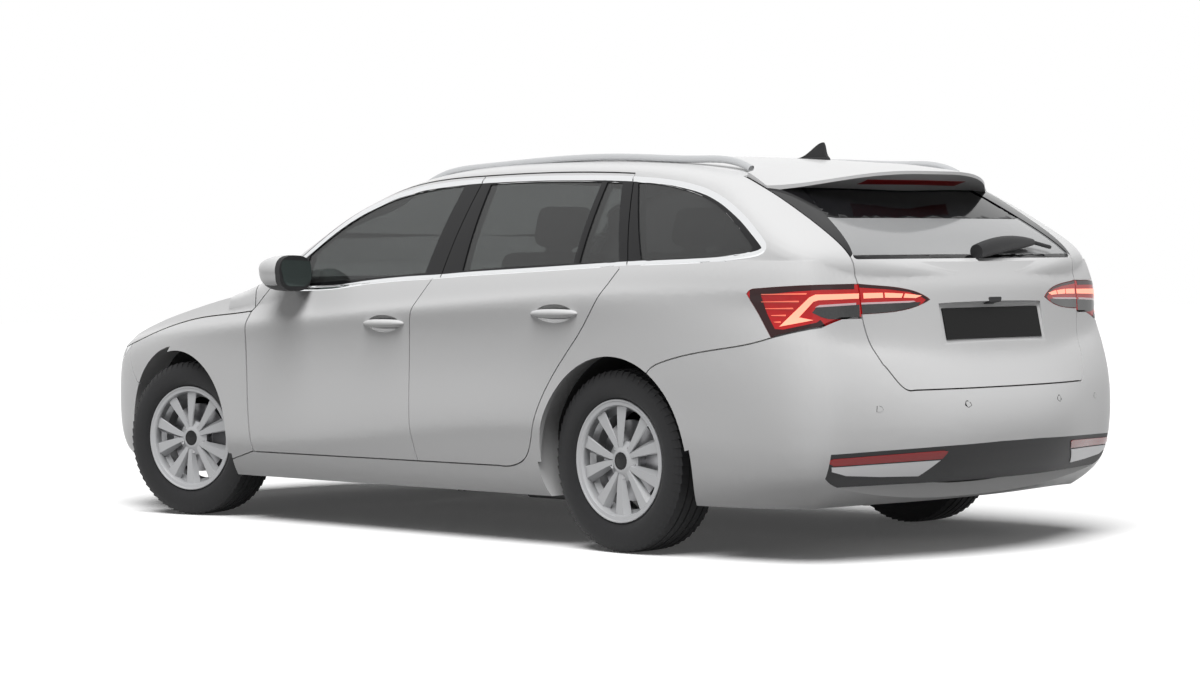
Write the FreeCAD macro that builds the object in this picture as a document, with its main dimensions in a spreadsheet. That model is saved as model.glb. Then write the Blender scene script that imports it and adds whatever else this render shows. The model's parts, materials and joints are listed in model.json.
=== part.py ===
import FreeCAD, Part
import math
import os
import re

import Sketcher

# A five-door station wagon at rest on level ground, in millimetres.
# +X points forward, +Y to the car's left, +Z up. The origin is on the ground,
# half way along the car and on its centre line.

os.makedirs("parts", exist_ok=True)
doc = FreeCAD.newDocument("StationWagon")
V = FreeCAD.Vector

# Driving dimensions, one sheet cell each

SIZES = [
    ("overall_length", 4698), ("body_width", 1829), ("front_overhang", 886),
    ("wheelbase", 2686), ("belt_height", 1000), ("roof_height", 1440),
    ("underside_height", 185), ("front_track", 1543), ("rear_track", 1535),
    ("tyre_radius", 326), ("tyre_width", 210), ("tread_width", 172),
    ("bead_radius", 203), ("rim_width", 165), ("rim_flange", 17),
    ("tyre_wall", 11), ("barrel_wall", 6), ("rim_offset", 46),
    ("hub_radius", 72), ("hub_bore_radius", 28), ("bolt_circle_radius", 56),
    ("spoke_pairs", 5), ("spoke_width", 24), ("spoke_depth", 26),
    ("parked_steer", 14.4), ("kingpin_inset", 60),
    ("disc_radius", 144), ("disc_thickness", 22),
    ("arch_radius", 372), ("well_radius", 392), ("arch_lip", 26),
    ("front_well_depth", 430), ("rear_well_depth", 270), ("liner_wall", 4),
    ("door_wall", 112), ("upper_wall", 36), ("panel_wall", 24),
    ("shut_gap", 5), ("flange_depth", 15), ("flange_width", 16),
    ("inner_gap", 13), ("pillar_width", 74), ("glass_inset", 4), ("glass_thickness", 5),
    ("seal_gap", 0.3), ("sill_step", 20),
    ("floor_thickness", 24), ("seat_width", 520), ("seat_depth", 520),
    ("seat_back_height", 620), ("seat_thickness", 130), ("cushion_height", 420),
    ("seat_spacing", 740), ("steering_wheel_radius", 185),
    ("rail_radius", 13), ("rail_lift", 26), ("mirror_reach", 112),
    ("plate_width", 520), ("plate_height", 110), ("plate_thickness", 5),
    ("plate_tilt", 11.8), ("plate_centre_height", 801), ("exhaust_radius", 27),
    ("exhaust_height", 165), ("handle_length", 248), ("handle_bowl_depth", 23),
    ("striker_radius", 6), ("engine_length", 580), ("engine_width", 660),
    ("engine_height", 470), ("engine_low", 300), ("tank_length", 400),
    ("tank_width", 490), ("tank_depth", 42), ("spring_radius", 60),
    ("strut_radius", 30), ("beam_radius", 42), ("silencer_length", 320),
    ("silencer_width", 660), ("silencer_height", 130), ("edge_round", 15),
]
sheet = doc.addObject("Spreadsheet::Sheet", "Dimensions")
for row, (alias, value) in enumerate(SIZES, start=1):
    sheet.set("A%d" % row, alias)
    sheet.set("B%d" % row, str(value))
    sheet.setAlias("B%d" % row, alias)
doc.recompute()


class Dimensions:
    """The sheet's cells, read by alias."""

    def __getattr__(self, alias):
        return float(sheet.get(alias))


dim = Dimensions()
HALF = dim.overall_length / 2
FRONT_AXLE = HALF - dim.front_overhang
REAR_AXLE = FRONT_AXLE - dim.wheelbase
HALF_WIDTH = dim.body_width / 2
FAR = 1400.0

# Objects whose sizes are bound to the sheet

FRONT = "(overall_length / 2 - front_overhang)"
REAR = "(overall_length / 2 - front_overhang - wheelbase)"
HANG_RULE = "(underside_height + (belt_height - underside_height) * 215 / 815" \
            " - floor_thickness)"


def rule(text):
    """An expression on the sheet's cells, from one written with bare aliases."""
    words = "|".join(alias for alias, value in SIZES)
    return re.sub(r"\b(%s)\b" % words, r"Dimensions.\1", text)


def worth(text):
    """What a rule comes to now."""
    value = sheet.evalExpression(rule(text))
    return float(getattr(value, "Value", value))


def tie(item, **rules):
    """Bind an object's sizes to the sheet."""
    for size, text in rules.items():
        item.setExpression(size, rule(text))
    return item


def stood(item, x, y, z):
    """Bind where an object stands to the sheet."""
    for axis, text in zip("xyz", (x, y, z)):
        item.setExpression("Placement.Base." + axis, rule(text))
    return item


def box_item(name, xs, ys, zs):
    """A box between two rules along each axis."""
    item = doc.addObject("Part::Box", name)
    tie(item, Length="(%s) - (%s)" % (xs[1], xs[0]), Width="(%s) - (%s)" % (ys[1], ys[0]),
        Height="(%s) - (%s)" % (zs[1], zs[0]))
    return stood(item, xs[0], ys[0], zs[0])


def rod_item(name, radius, length, start, direction):
    """A round rod from a start point along a direction."""
    item = doc.addObject("Part::Cylinder", name)
    item.Placement = FreeCAD.Placement(V(0, 0, 0), FreeCAD.Rotation(V(0, 0, 1), direction))
    tie(item, Radius=radius, Height=length)
    return stood(item, *start)


def rounded_item(name, base, radius):
    """A solid with all its edges rounded."""
    doc.recompute()
    item = doc.addObject("Part::Fillet", name)
    item.Base = base
    item.Edges = [(edge + 1, radius, radius) for edge in range(len(base.Shape.Edges))]
    return item


def fused_item(name, parts):
    item = doc.addObject("Part::MultiFuse", name)
    item.Shapes = parts
    return item


def pair_item(name, left):
    """A left-hand object together with its mirror image."""
    twin = doc.addObject("Part::Mirroring", name + "_twin")
    twin.Source = left
    twin.Normal = V(0, 1, 0)
    item = doc.addObject("Part::Compound", name)
    item.Links = [left, twin]
    return item


def body_item(name):
    """A body and a sketch on one of its own planes comes next."""
    return doc.addObject("PartDesign::Body", name)


def sketch_in(body, role, name):
    """A sketch on one of the body's own origin planes."""
    plane = next(part for part in body.Origin.OriginFeatures if part.Role == role)
    drawing = body.newObject("Sketcher::SketchObject", name)
    drawing.AttachmentSupport = (plane, [""])
    drawing.MapMode = "FlatFace"
    return drawing


def draw(drawing, spans):
    """Draw a closed profile; each span is (start, end) or (start, by way of, end) in rules."""
    ends = []
    for span in spans:
        points = [V(worth(x), worth(y), 0) for x, y in span]
        turned = False
        if len(points) == 2:
            edge = Part.LineSegment(points[0], points[1])
        else:
            turned = (points[1] - points[0]).cross(points[2] - points[1]).z < 0
            if turned:
                points.reverse()
            edge = Part.Arc(points[0], points[1], points[2])
        ends.append((drawing.addGeometry(edge, False), 2 if turned else 1, 1 if turned else 2))
    for k, (index, start, end) in enumerate(ends):
        following = ends[(k + 1) % len(ends)]
        drawing.addConstraint(Sketcher.Constraint("Coincident", index, end, following[0],
                                                  following[1]))
    for (index, start, end), span in zip(ends, spans):
        for kind, text in zip(("DistanceX", "DistanceY"), span[0]):
            held = drawing.addConstraint(Sketcher.Constraint(kind, -1, 1, index, start,
                                                             worth(text)))
            drawing.setExpression("Constraints[%d]" % held, rule(text))


def turned_body(name, spans):
    """A body of revolution about its own Y axis."""
    body = body_item(name)
    drawing = sketch_in(body, "XY_Plane", name + "_profile")
    draw(drawing, spans)
    ring = body.newObject("PartDesign::Revolution", name + "_turned")
    ring.Profile = drawing
    ring.ReferenceAxis = (drawing, ["V_Axis"])
    ring.Angle = 360
    return body


def padded_body(name, spans, role, height, radius):
    """A body with one pad from a profile, all its edges rounded."""
    body = body_item(name)
    drawing = sketch_in(body, role, name + "_outline")
    draw(drawing, spans)
    pad = body.newObject("PartDesign::Pad", name + "_pad")
    pad.Profile = drawing
    tie(pad, Length=height)
    doc.recompute()
    soft = body.newObject("PartDesign::Fillet", name + "_rounds")
    soft.Base = (pad, ["Edge%d" % (k + 1) for k in range(len(pad.Shape.Edges))])
    tie(soft, Radius=radius)
    return body


def rectangle(x0, x1, y0, y1):
    """The four spans of a rectangle between rules."""
    corners = [(x0, y0), (x1, y0), (x1, y1), (x0, y1)]
    return [(corners[k], corners[(k + 1) % 4]) for k in range(4)]


def tyre_spans():
    """The tyre's section: radius first, then where it lies across the wheel."""
    seat_half = "(rim_width / 2 - 1.6)"
    lip = "(bead_radius + rim_flange + 0.8)"

    def side(sign):
        def at(radius, across_by):
            return (radius, "%s(%s)" % (sign, across_by))
        return {
            "bead_in": at("bead_radius + 0.6", seat_half + " - tyre_wall"),
            "bead_out": at("bead_radius + 0.6", seat_half),
            "neck": at(lip, seat_half),
            "bulge": at(lip + " + 42", "tyre_width / 2"),
            "shoulder": at("tyre_radius - 17", "tyre_width / 2 - 10"),
            "round": at("tyre_radius - 8", "tyre_width / 2 - 17"),
            "corner": at("tyre_radius - 3", "tread_width / 2"),
            "inner_neck": at(lip + " + 4", seat_half + " - tyre_wall"),
            "inner_bulge": at(lip + " + 42", "tyre_width / 2 - tyre_wall"),
            "inner_top": at("tyre_radius - tyre_wall - 15", "tyre_width / 2 - 26"),
        }

    out = side("")
    into = side("-")
    return [
        (out["bead_in"], out["bead_out"]),
        (out["bead_out"], out["neck"]),
        (out["neck"], out["bulge"], out["shoulder"]),
        (out["shoulder"], out["round"], out["corner"]),
        (out["corner"], ("tyre_radius", "0"), into["corner"]),
        (into["corner"], into["round"], into["shoulder"]),
        (into["shoulder"], into["bulge"], into["neck"]),
        (into["neck"], into["bead_out"]),
        (into["bead_out"], into["bead_in"]),
        (into["bead_in"], into["inner_neck"]),
        (into["inner_neck"], into["inner_bulge"], into["inner_top"]),
        (into["inner_top"], ("tyre_radius - tyre_wall - 4", "0"), out["inner_top"]),
        (out["inner_top"], out["inner_bulge"], out["inner_neck"]),
        (out["inner_neck"], out["bead_in"]),
    ]


def disc_spans():
    """The brake disc's section, with its hat against the rim's pad."""
    face = "(rim_offset - 46)"
    return [
        (("hub_bore_radius", face), ("disc_radius", face)),
        (("disc_radius", face), ("disc_radius", face + " + disc_thickness")),
        (("disc_radius", face + " + disc_thickness"), ("hub_radius", face + " + disc_thickness")),
        (("hub_radius", face + " + disc_thickness"), ("hub_radius", "rim_offset")),
        (("hub_radius", "rim_offset"), ("hub_bore_radius", "rim_offset")),
        (("hub_bore_radius", "rim_offset"), ("hub_bore_radius", face)),
    ]


CORNERS = {
    "front_left": (FRONT + " - kingpin_inset * sin(parked_steer * 1 deg)",
                   "front_track / 2 - kingpin_inset + kingpin_inset * cos(parked_steer * 1 deg)",
                   "parked_steer"),
    "front_right": (FRONT + " + kingpin_inset * sin(parked_steer * 1 deg)",
                    "-(front_track / 2 - kingpin_inset + kingpin_inset"
                    " * cos(parked_steer * 1 deg))", "parked_steer + 180"),
    "rear_left": (REAR, "rear_track / 2", "0"),
    "rear_right": (REAR, "-rear_track / 2", "180"),
}


def on_corner(item, corner):
    """Stand a wheel piece at one corner of the car, turned as the wheel is."""
    x, y, turn = CORNERS[corner]
    item.setExpression("Placement.Rotation.Angle", rule(turn))
    return stood(item, x, y, "tyre_radius")

# Feature lines are drawn at the nominal car and stretched with the sheet

DRAWN_STATIONS = (-2349.0, -1223.0, 1463.0, 2349.0)
DRAWN_HEIGHTS = (0.0, 185.0, 1000.0, 1440.0)
DRAWN_HALF_WIDTH = 914.5


def stretch(value, drawn, real):
    """Carry a drawn coordinate to the sheet's sizes, piece by piece."""
    last = len(drawn) - 2
    piece = 0
    while piece < last and value > drawn[piece + 1]:
        piece += 1
    share = (value - drawn[piece]) / (drawn[piece + 1] - drawn[piece])
    return real[piece] + share * (real[piece + 1] - real[piece])


def along(x):
    return stretch(x, DRAWN_STATIONS, (-HALF, REAR_AXLE, FRONT_AXLE, HALF))


def above(z):
    return stretch(z, DRAWN_HEIGHTS,
                   (0.0, dim.underside_height, dim.belt_height, dim.roof_height))


def aside(y):
    return y * HALF_WIDTH / DRAWN_HALF_WIDTH


def flowing(points):
    """A smooth line through (x, value) points that never overshoots them."""
    knots = sorted(points)
    xs = [p[0] for p in knots]
    ys = [p[1] for p in knots]
    rises = [(ys[i + 1] - ys[i]) / (xs[i + 1] - xs[i]) for i in range(len(xs) - 1)]
    slopes = [rises[0]]
    for left, right in zip(rises, rises[1:]):
        slopes.append(0.0 if left * right <= 0 else 2 * left * right / (left + right))
    slopes.append(rises[-1])

    def value(x):
        if x <= xs[0]:
            return ys[0]
        if x >= xs[-1]:
            return ys[-1]
        i = max(k for k in range(len(xs) - 1) if xs[k] <= x)
        run = xs[i + 1] - xs[i]
        t = (x - xs[i]) / run
        return (ys[i] * (1 + 2 * t) * (1 - t) ** 2 + slopes[i] * run * t * (1 - t) ** 2
                + ys[i + 1] * t * t * (3 - 2 * t) + slopes[i + 1] * run * t * t * (t - 1))

    return value


# Smooth surfaces from nets of poles


def clamped(count, degree=3):
    """Knots and multiplicities of a clamped spline with this many poles."""
    inner = count - degree - 1
    knots = [float(k) for k in range(inner + 2)]
    mults = [degree + 1] + [1] * inner + [degree + 1]
    return knots, mults


def net_face(net):
    """The bicubic face that follows a net of poles."""
    u_knots, u_mults = clamped(len(net))
    v_knots, v_mults = clamped(len(net[0]))
    surface = Part.BSplineSurface()
    surface.buildFromPolesMultsKnots(net, u_mults, v_mults, u_knots, v_knots,
                                     False, False, 3, 3)
    return surface.toShape()


def mirrored(shape):
    return shape.mirror(V(0, 0, 0), V(0, 1, 0))


def solid_of(faces):
    """A solid inside closed faces, turned so that its faces look outwards."""
    shell = Part.makeShell(faces)
    shell.sewShape()
    solid = Part.makeSolid(shell)
    if solid.Volume < 0:
        shell.reverse()
        solid = Part.makeSolid(shell)
    return solid


def line_of(poles):
    knots, mults = clamped(len(poles))
    curve = Part.BSplineCurve()
    curve.buildFromPolesMultsKnots(poles, mults, knots, False, 3)
    return curve.toShape()


def cap(edges):
    return Part.Face(Part.Wire(Part.__sortEdges__(edges)))


def inward(net, wall, hold):
    """Move a net's poles inwards by a wall; hold(i, j, normal) keeps its edges in plane."""
    moved = []
    last_i = len(net) - 1
    last_j = len(net[0]) - 1
    for i in range(last_i + 1):
        row = []
        for j in range(last_j + 1):
            du = net[min(i + 1, last_i)][j] - net[max(i - 1, 0)][j]
            dv = net[i][min(j + 1, last_j)] - net[i][max(j - 1, 0)]
            normal = hold(i, j, du.cross(dv))
            if normal.Length > 1e-9:
                normal.normalize()
            row.append(net[i][j] + normal * wall)
        moved.append(row)
    return moved


# Lower body: plan columns from nose to tail, and rows from underside to belt

PLAN = [
    (2352, 0), (2352, 150), (2326, 390), (2255, 610), (2130, 752), (1950, 842),
    (1720, 884), (1463, 902), (1100, 910), (700, 914), (200, 916), (-300, 916),
    (-800, 915), (-1223, 912), (-1550, 905), (-1800, 893), (-1990, 872), (-2110, 832),
    (-2172, 750), (-2215, 600), (-2302, 385), (-2353, 190), (-2353, 0),
]

# Each row: how far it lies inside the plan, and its height, along the car
LOWER_ROWS = [
    ([(-2349, 260), (-2100, 150), (-1700, 70), (1700, 70), (2100, 150), (2349, 260)],
     [(-2349, 185), (2349, 185)]),
    ([(-2349, 78), (-2100, 52), (-1700, 36), (1700, 36), (2100, 46), (2349, 60)],
     [(-2349, 250), (-1900, 232), (1900, 228), (2349, 235)]),
    ([(-2349, 14), (-2100, 16), (-1600, 14), (-800, 12), (900, 12), (1700, 16), (2349, 22)],
     [(-2349, 345), (-1900, 330), (-1300, 400), (-828, 415), (891, 300), (2349, 300)]),
    ([(-2349, 4), (-2100, 6), (-1600, 8), (-800, 2), (900, 2), (1700, 8), (2349, 8)],
     [(-2349, 400), (-1900, 420), (-1300, 440), (-828, 448), (891, 338), (2349, 360)]),
    ([(-2349, 0), (-2100, 0), (-1600, 8), (-800, 6), (900, 6), (1700, 7), (2349, 0)],
     [(-2349, 470), (-1900, 510), (-828, 530), (891, 450), (2349, 460)]),
    ([(-2349, 26), (-2215, 8), (-1990, 2), (-1500, 3), (-900, 20), (0, 22), (850, 20),
      (1250, 5), (1700, 2), (2349, 10)],
     [(-2349, 570), (-1900, 640), (-828, 660), (891, 620), (2349, 560)]),
    ([(-2349, 84), (-2215, 52), (-1990, 16), (-1500, 8), (-900, 16), (0, 17), (850, 15),
      (1250, 8), (1700, 8), (2349, 24)],
     [(-2349, 680), (-1900, 780), (-828, 800), (891, 740), (1700, 700), (2349, 620)]),
    ([(-2349, 94), (-2215, 72), (-1990, 44), (-1600, 12), (-900, 0), (850, 1), (1700, 16),
      (2349, 38)],
     [(-2349, 722), (-2215, 728), (-2110, 815), (-1900, 870), (-1425, 890), (-828, 880), (943, 796), (1700, 736),
      (2349, 650)]),
    ([(-2349, 119), (-2215, 80), (-1990, 34), (-1600, 18), (-900, 6), (850, 7), (1700, 22), (2349, 46)],
     [(-2349, 905), (-1900, 918), (-1425, 930), (-828, 915), (-103, 880), (943, 824),
      (1700, 756), (2349, 664)]),
    ([(-2349, 124), (-2215, 86), (-1990, 42), (-1600, 27), (-900, 20), (850, 22), (1700, 34), (2349, 58)],
     [(-2349, 938), (-1900, 940), (-1425, 948), (-828, 934), (-103, 900), (943, 846),
      (1700, 778), (2349, 680)]),
    ([(-2349, 160), (-2215, 112), (-1990, 62), (-1600, 48), (-200, 48), (943, 52),
      (1700, 66), (2349, 96)],
     [(-2349, 1012), (-1600, 1026), (-779, 1006), (-221, 988), (612, 950), (943, 905),
      (1300, 872), (1700, 806), (2000, 748), (2349, 700)]),
    ([(-2349, 190), (-2215, 160), (-1990, 130), (-1600, 110), (943, 120), (1700, 170),
      (2349, 230)],
     [(-2349, 1120), (2349, 1120)]),
]


def lower_net():
    net = []
    for insets, heights in LOWER_ROWS:
        inset = flowing(insets)
        height = flowing(heights)
        row = []
        for column, (x, y) in enumerate(PLAN):
            normal = outwards(column)
            px = x - normal.x * inset(x)
            py = max(y - normal.y * inset(x), 0)
            row.append(V(along(px), aside(py), above(height(x))))
        row[0].y = row[-1].y = 0.0
        row[1].x = row[0].x
        row[-2].x = row[-1].x
        net.append(row)
    return net


def outwards(column):
    """Unit vector out of the plan at a column."""
    if column == 0:
        return V(1, 0, 0)
    if column == len(PLAN) - 1:
        return V(-1, 0, 0)
    before = PLAN[column - 1]
    after = PLAN[column + 1]
    run = V(after[0] - before[0], after[1] - before[1], 0)
    run.normalize()
    return V(run.y, -run.x, 0)


def shrunk(net, wall):
    """Draw a net in towards the car's middle, which keeps tight corners open."""
    x_scale = (HALF - wall) / HALF
    y_scale = (HALF_WIDTH - wall) / HALF_WIDTH
    return [[V(p.x * x_scale, p.y * y_scale, p.z) for p in row] for row in net]


def lower_solid(wall):
    net = lower_net()
    if wall > dim.flange_width + dim.panel_wall:
        net = shrunk(net, wall)
    elif wall:
        def hold(i, j, normal):
            if i in (0, len(net) - 1):
                normal.z = 0
            if j in (0, len(net[0]) - 1):
                normal.y = 0
            return normal
        net = inward(net, wall, hold)
    left = net_face(net)
    right = mirrored(left)
    bottom = line_of(net[0])
    top = line_of(net[-1])
    return solid_of([left, right, cap([bottom, mirrored(bottom)]),
                     cap([top, mirrored(top)])])


# Deck: the bonnet in front, and a hidden top at belt height behind it

DECK_CENTRE = flowing([
    (2600, 430), (2420, 590), (2330, 668), (2250, 716), (2120, 762), (1950, 812),
    (1800, 850), (1650, 884), (1450, 922), (1250, 955), (1100, 978), (950, 986),
    (800, 972), (612, 952), (188, 970), (-221, 986), (-779, 1004), (-1244, 1017),
    (-1700, 1026), (-2100, 1022), (-2250, 1012), (-2600, 960)])
DECK_DROP = flowing([
    (2600, 60), (2100, 70), (1600, 62), (1250, 56), (1000, 50), (850, 22), (700, 0),
    (-2600, 0)])
DECK_SIDES = (-1100, -900, -700, -450, -150, 150, 450, 700, 900, 1100)
DECK_STATIONS = (2600, 2440, 2360, 2290, 2200, 2080, 1920, 1760, 1600, 1400, 1200, 1050,
                 920, 800, 600, 200, -200, -700, -1200, -1700, -2100, -2300, -2600)


def deck_solid(wall):
    net = []
    for x in DECK_STATIONS:
        row = []
        for y in DECK_SIDES:
            z = DECK_CENTRE(x) - DECK_DROP(x) * (y / 850.0) ** 2
            row.append(V(along(x), aside(y), above(z) - wall))
        net.append(row)
    return net_face(net).extrude(V(0, 0, -dim.roof_height))


# Greenhouse: sections across the car from cowl to tailgate

# x, roof or glass height at the centre, side corner y and z
SECTIONS = [
    (1100, 966, 846, 926), (1060, 985, 848, 930), (960, 1032, 846, 948),
    (860, 1078, 842, 990), (740, 1134, 830, 1046), (600, 1199, 798, 1132),
    (450, 1268, 746, 1234), (300, 1334, 706, 1298), (160, 1388, 680, 1340),
    (0, 1420, 658, 1374), (-250, 1437, 642, 1392), (-600, 1441, 640, 1392),
    (-1000, 1430, 648, 1376), (-1300, 1411, 664, 1348), (-1500, 1393, 692, 1304),
    (-1590, 1386, 710, 1270), (-1640, 1370, 722, 1246), (-1700, 1334, 738, 1216),
    (-1780, 1292, 758, 1176), (-1900, 1222, 790, 1098), (-2000, 1158, 775, 1056),
    (-2060, 1112, 735, 1034), (-2090, 1087, 680, 1022), (-2120, 1063, 585, 1016),
    (-2155, 1036, 460, 1004), (-2186, 1008, 330, 990), (-2205, 984, 210, 966),
]
GREENHOUSE_FOOT = flowing([
    (-2205, 190), (-2186, 300), (-2155, 430), (-2120, 555), (-2090, 640), (-2060, 690),
    (-2000, 762), (-1900, 818), (-1750, 846), (-1300, 858), (600, 864), (1150, 850)])


def upper_net():
    net = []
    for x, top, corner_y, corner_z in SECTIONS:
        foot_y = GREENHOUSE_FOOT(x)
        foot_z = 830.0
        rise = corner_z - foot_z
        bulge = 13.0
        points = [
            (foot_y + 14, foot_z),
            (foot_y + 14 - 0.30 * (foot_y + 14 - corner_y) + bulge, foot_z + 0.36 * rise),
            (foot_y + 14 - 0.62 * (foot_y + 14 - corner_y) + bulge, foot_z + 0.68 * rise),
            (corner_y + 16, corner_z - min(30, 0.12 * rise)),
            (corner_y, corner_z),
            (corner_y - 34, corner_z + 0.32 * (top - corner_z)),
            (corner_y * 0.80, corner_z + 0.66 * (top - corner_z)),
            (corner_y * 0.52, top - 0.10 * (top - corner_z)),
            (corner_y * 0.20, top),
            (0, top),
        ]
        net.append([V(along(x), aside(y), above(z)) for y, z in points])
    return net


def upper_solid(wall):
    net = upper_net()
    if wall:
        def hold(i, j, normal):
            if i in (0, len(net) - 1):
                normal.x = 0
            if j == 0:
                normal.z = 0
            if j == len(net[0]) - 1:
                normal.y = 0
            return normal * -1
        net = inward(net, wall, hold)
        for point in net[0]:
            point.x -= wall
        for point in net[-1]:
            point.x += wall
    left = net_face(net)
    right = mirrored(left)
    foot = line_of([row[0] for row in net])
    front = line_of(net[0])
    back = line_of(net[-1])
    floor = cap([foot, mirrored(foot),
                 Part.makeLine(net[0][0], V(net[0][0].x, -net[0][0].y, net[0][0].z)),
                 Part.makeLine(net[-1][0], V(net[-1][0].x, -net[-1][0].y, net[-1][0].z))])
    front_cap = cap([front, mirrored(front),
                     Part.makeLine(net[0][0], V(net[0][0].x, -net[0][0].y, net[0][0].z))])
    back_cap = cap([back, mirrored(back),
                    Part.makeLine(net[-1][0], V(net[-1][0].x, -net[-1][0].y, net[-1][0].z))])
    solid = solid_of([left, right, floor, front_cap, back_cap])
    if wall > dim.panel_wall:
        solid = solid.common(block(along(-2120), HALF, -FAR, FAR, 0, 2 * dim.roof_height))
    return solid


def body_solid(lower_wall, upper_wall, deck_wall):
    lower = lower_solid(lower_wall).common(deck_solid(deck_wall))
    return lower.fuse(upper_solid(upper_wall))


# Outlines: runs of straight lines and flowing curves, given as groups of points


def side_point(x, z):
    return V(along(x), 0, above(z))


def rear_point(y, z):
    return V(0, aside(y), above(z))


def plan_point(x, y):
    return V(along(x), aside(y), 0)


def outline(groups, place):
    """A closed wire: a group of two points is a line, a longer one a smooth curve."""
    edges = []
    for group in groups:
        points = [place(*p) for p in group]
        if len(points) == 2:
            edges.append(Part.makeLine(points[0], points[1]))
        else:
            curve = Part.BSplineCurve()
            curve.interpolate(points)
            edges.append(curve.toShape())
    start = place(*groups[0][0])
    end = place(*groups[-1][-1])
    if start.distanceToPoint(end) > 1e-6:
        edges.append(Part.makeLine(end, start))
    return Part.Wire(Part.__sortEdges__(edges))


def redrawn(wire):
    """The same outline in lines, arcs and plain splines, which a file holds exactly."""
    edges = []
    for edge in wire.OrderedEdges:
        if isinstance(edge.Curve, (Part.Line, Part.Circle)):
            edges.append(edge)
        else:
            curve = Part.BSplineCurve()
            curve.interpolate(edge.discretize(Number=15))
            edges.append(curve.toShape())
    return Part.Wire(Part.__sortEdges__(edges))


def grown(wire, by):
    """The outline moved outwards by a gap, or inwards where it is negative."""
    if abs(by) < 1e-9:
        return wire
    area = Part.Face(wire).Area
    for sign in (1, -1):
        moved = wire.makeOffset2D(sign * by)
        if (Part.Face(moved).Area > area) == (by > 0):
            return redrawn(moved)
    raise ValueError("outline can't be moved by %s" % by)


def side_prism(wire, low, high):
    """The outline swept across the car between two half widths."""
    face = Part.Face(wire)
    face.translate(V(0, low, 0))
    return face.extrude(V(0, high - low, 0))


def rear_prism(wire, low, high):
    face = Part.Face(wire)
    face.translate(V(low, 0, 0))
    return face.extrude(V(high - low, 0, 0))


def plan_prism(wire, low, high):
    face = Part.Face(wire)
    face.translate(V(0, 0, low))
    return face.extrude(V(0, 0, high - low))


def block(x0, x1, y0, y1, z0, z1):
    return Part.makeBox(x1 - x0, y1 - y0, z1 - z0, V(x0, y0, z0))


def bar(start, end, radius):
    """A round bar between two points."""
    run = end - start
    return Part.makeCylinder(radius, run.Length, start, run)


def across(x, y0, y1, z, radius):
    """A round bar along Y."""
    return Part.makeCylinder(radius, y1 - y0, V(x, y0, z), V(0, 1, 0))


def both(left):
    """A left-hand piece and its mirror image."""
    return Part.makeCompound([left, mirrored(left)])


LEFT_HALF = block(-2 * HALF, 2 * HALF, 0, FAR, -100, 2 * dim.roof_height)

SEAM = [(-142, 292), (-128, 370), (-118, 470), (-110, 620), (-116, 750), (-142, 860),
        (-190, 940), (-226, 993)]
SEAM_TOP = (-293, 1370)


def seam_at(by, turned=False):
    """The line between the two doors, moved along the car."""
    line = [(x + by, z) for x, z in SEAM]
    return line[::-1] if turned else line


def pillar(half_width):
    """The outline of the centre pillar behind the seam."""
    x, z = SEAM_TOP
    foot_x, foot_z = SEAM[-1]
    low_x, low_z = SEAM[0]
    return [
        seam_at(half_width),
        [(foot_x + half_width, foot_z), (x + half_width, z)],
        [(x + half_width, z), (x - half_width, z)],
        [(x - half_width, z), (foot_x - half_width, foot_z)],
        seam_at(-half_width, True),
        [(low_x - half_width, low_z), (low_x + half_width, low_z)],
    ]


FRONT_DOOR = [
    [(-142, 292), (905, 292)],
    [(905, 292), (923, 419), (936, 560), (940, 700), (930, 820), (922, 860)],
    [(922, 860), (818, 952)],
    [(818, 952), (650, 1082)],
    [(650, 1082), (524, 1174), (368, 1267), (202, 1327), (19, 1358), (-150, 1368),
     (-293, 1370)],
    [(-293, 1370), (-226, 993)],
    seam_at(0, True),
]
REAR_DOOR = [
    seam_at(-5),
    [(-231, 993), (-298, 1370)],
    [(-298, 1370), (-558, 1370), (-800, 1365), (-1127, 1348)],
    [(-1127, 1348), (-1250, 1006)],
    [(-1250, 1006), (-1187, 917), (-1077, 783), (-971, 675), (-895, 580), (-846, 492),
     (-810, 400), (-770, 330), (-700, 297), (-613, 292)],
    [(-613, 292), (-147, 292)],
]
FRONT_WINDOW = [
    [(-130, 1006), (188, 990), (600, 972)],
    [(600, 972), (604, 1086)],
    [(604, 1086), (524, 1143), (368, 1234), (202, 1294), (19, 1325), (-110, 1335),
     (-196, 1338)],
    [(-196, 1338), (-130, 1006)],
]
REAR_WINDOW = [
    [(-958, 1028), (-650, 1022), (-345, 1011)],
    [(-345, 1011), (-345, 1338)],
    [(-345, 1338), (-558, 1339), (-780, 1334), (-972, 1325)],
    [(-972, 1325), (-958, 1028)],
]
REAR_QUARTERLIGHT = [
    [(-1198, 1032), (-988, 1029)],
    [(-988, 1029), (-1000, 1323)],
    [(-1000, 1323), (-1084, 1318)],
    [(-1084, 1318), (-1198, 1032)],
]
QUARTER_WINDOW = [
    [(-1308, 1036), (-1166, 1316)],
    [(-1166, 1316), (-1320, 1300), (-1457, 1273), (-1590, 1232), (-1700, 1175),
     (-1790, 1115), (-1846, 1070)],
    [(-1846, 1070), (-1836, 1052), (-1800, 1045)],
    [(-1800, 1045), (-1560, 1038), (-1308, 1036)],
]
BONNET_LIP = [(926, 866), (1141, 851), (1326, 837), (1470, 816), (1611, 788), (1780, 748),
              (1950, 716), (2100, 694), (2240, 674), (2480, 640)]
BONNET_SIDE = [
    BONNET_LIP,
    [(2480, 640), (2480, 1200)],
    [(2480, 1200), (780, 1200)],
    [(780, 1200), (780, 990)],
    [(780, 990), (926, 866)],
]
BONNET_PLAN = [
    [(1118, -10), (1118, 10), (1102, 300), (1056, 560), (1000, 730), (944, 830), (890, 900),
     (830, 1000)],
    [(830, 1000), (2600, 1000)],
    [(2600, 1000), (2600, -10)],
    [(2600, -10), (1118, -10)],
]
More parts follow.
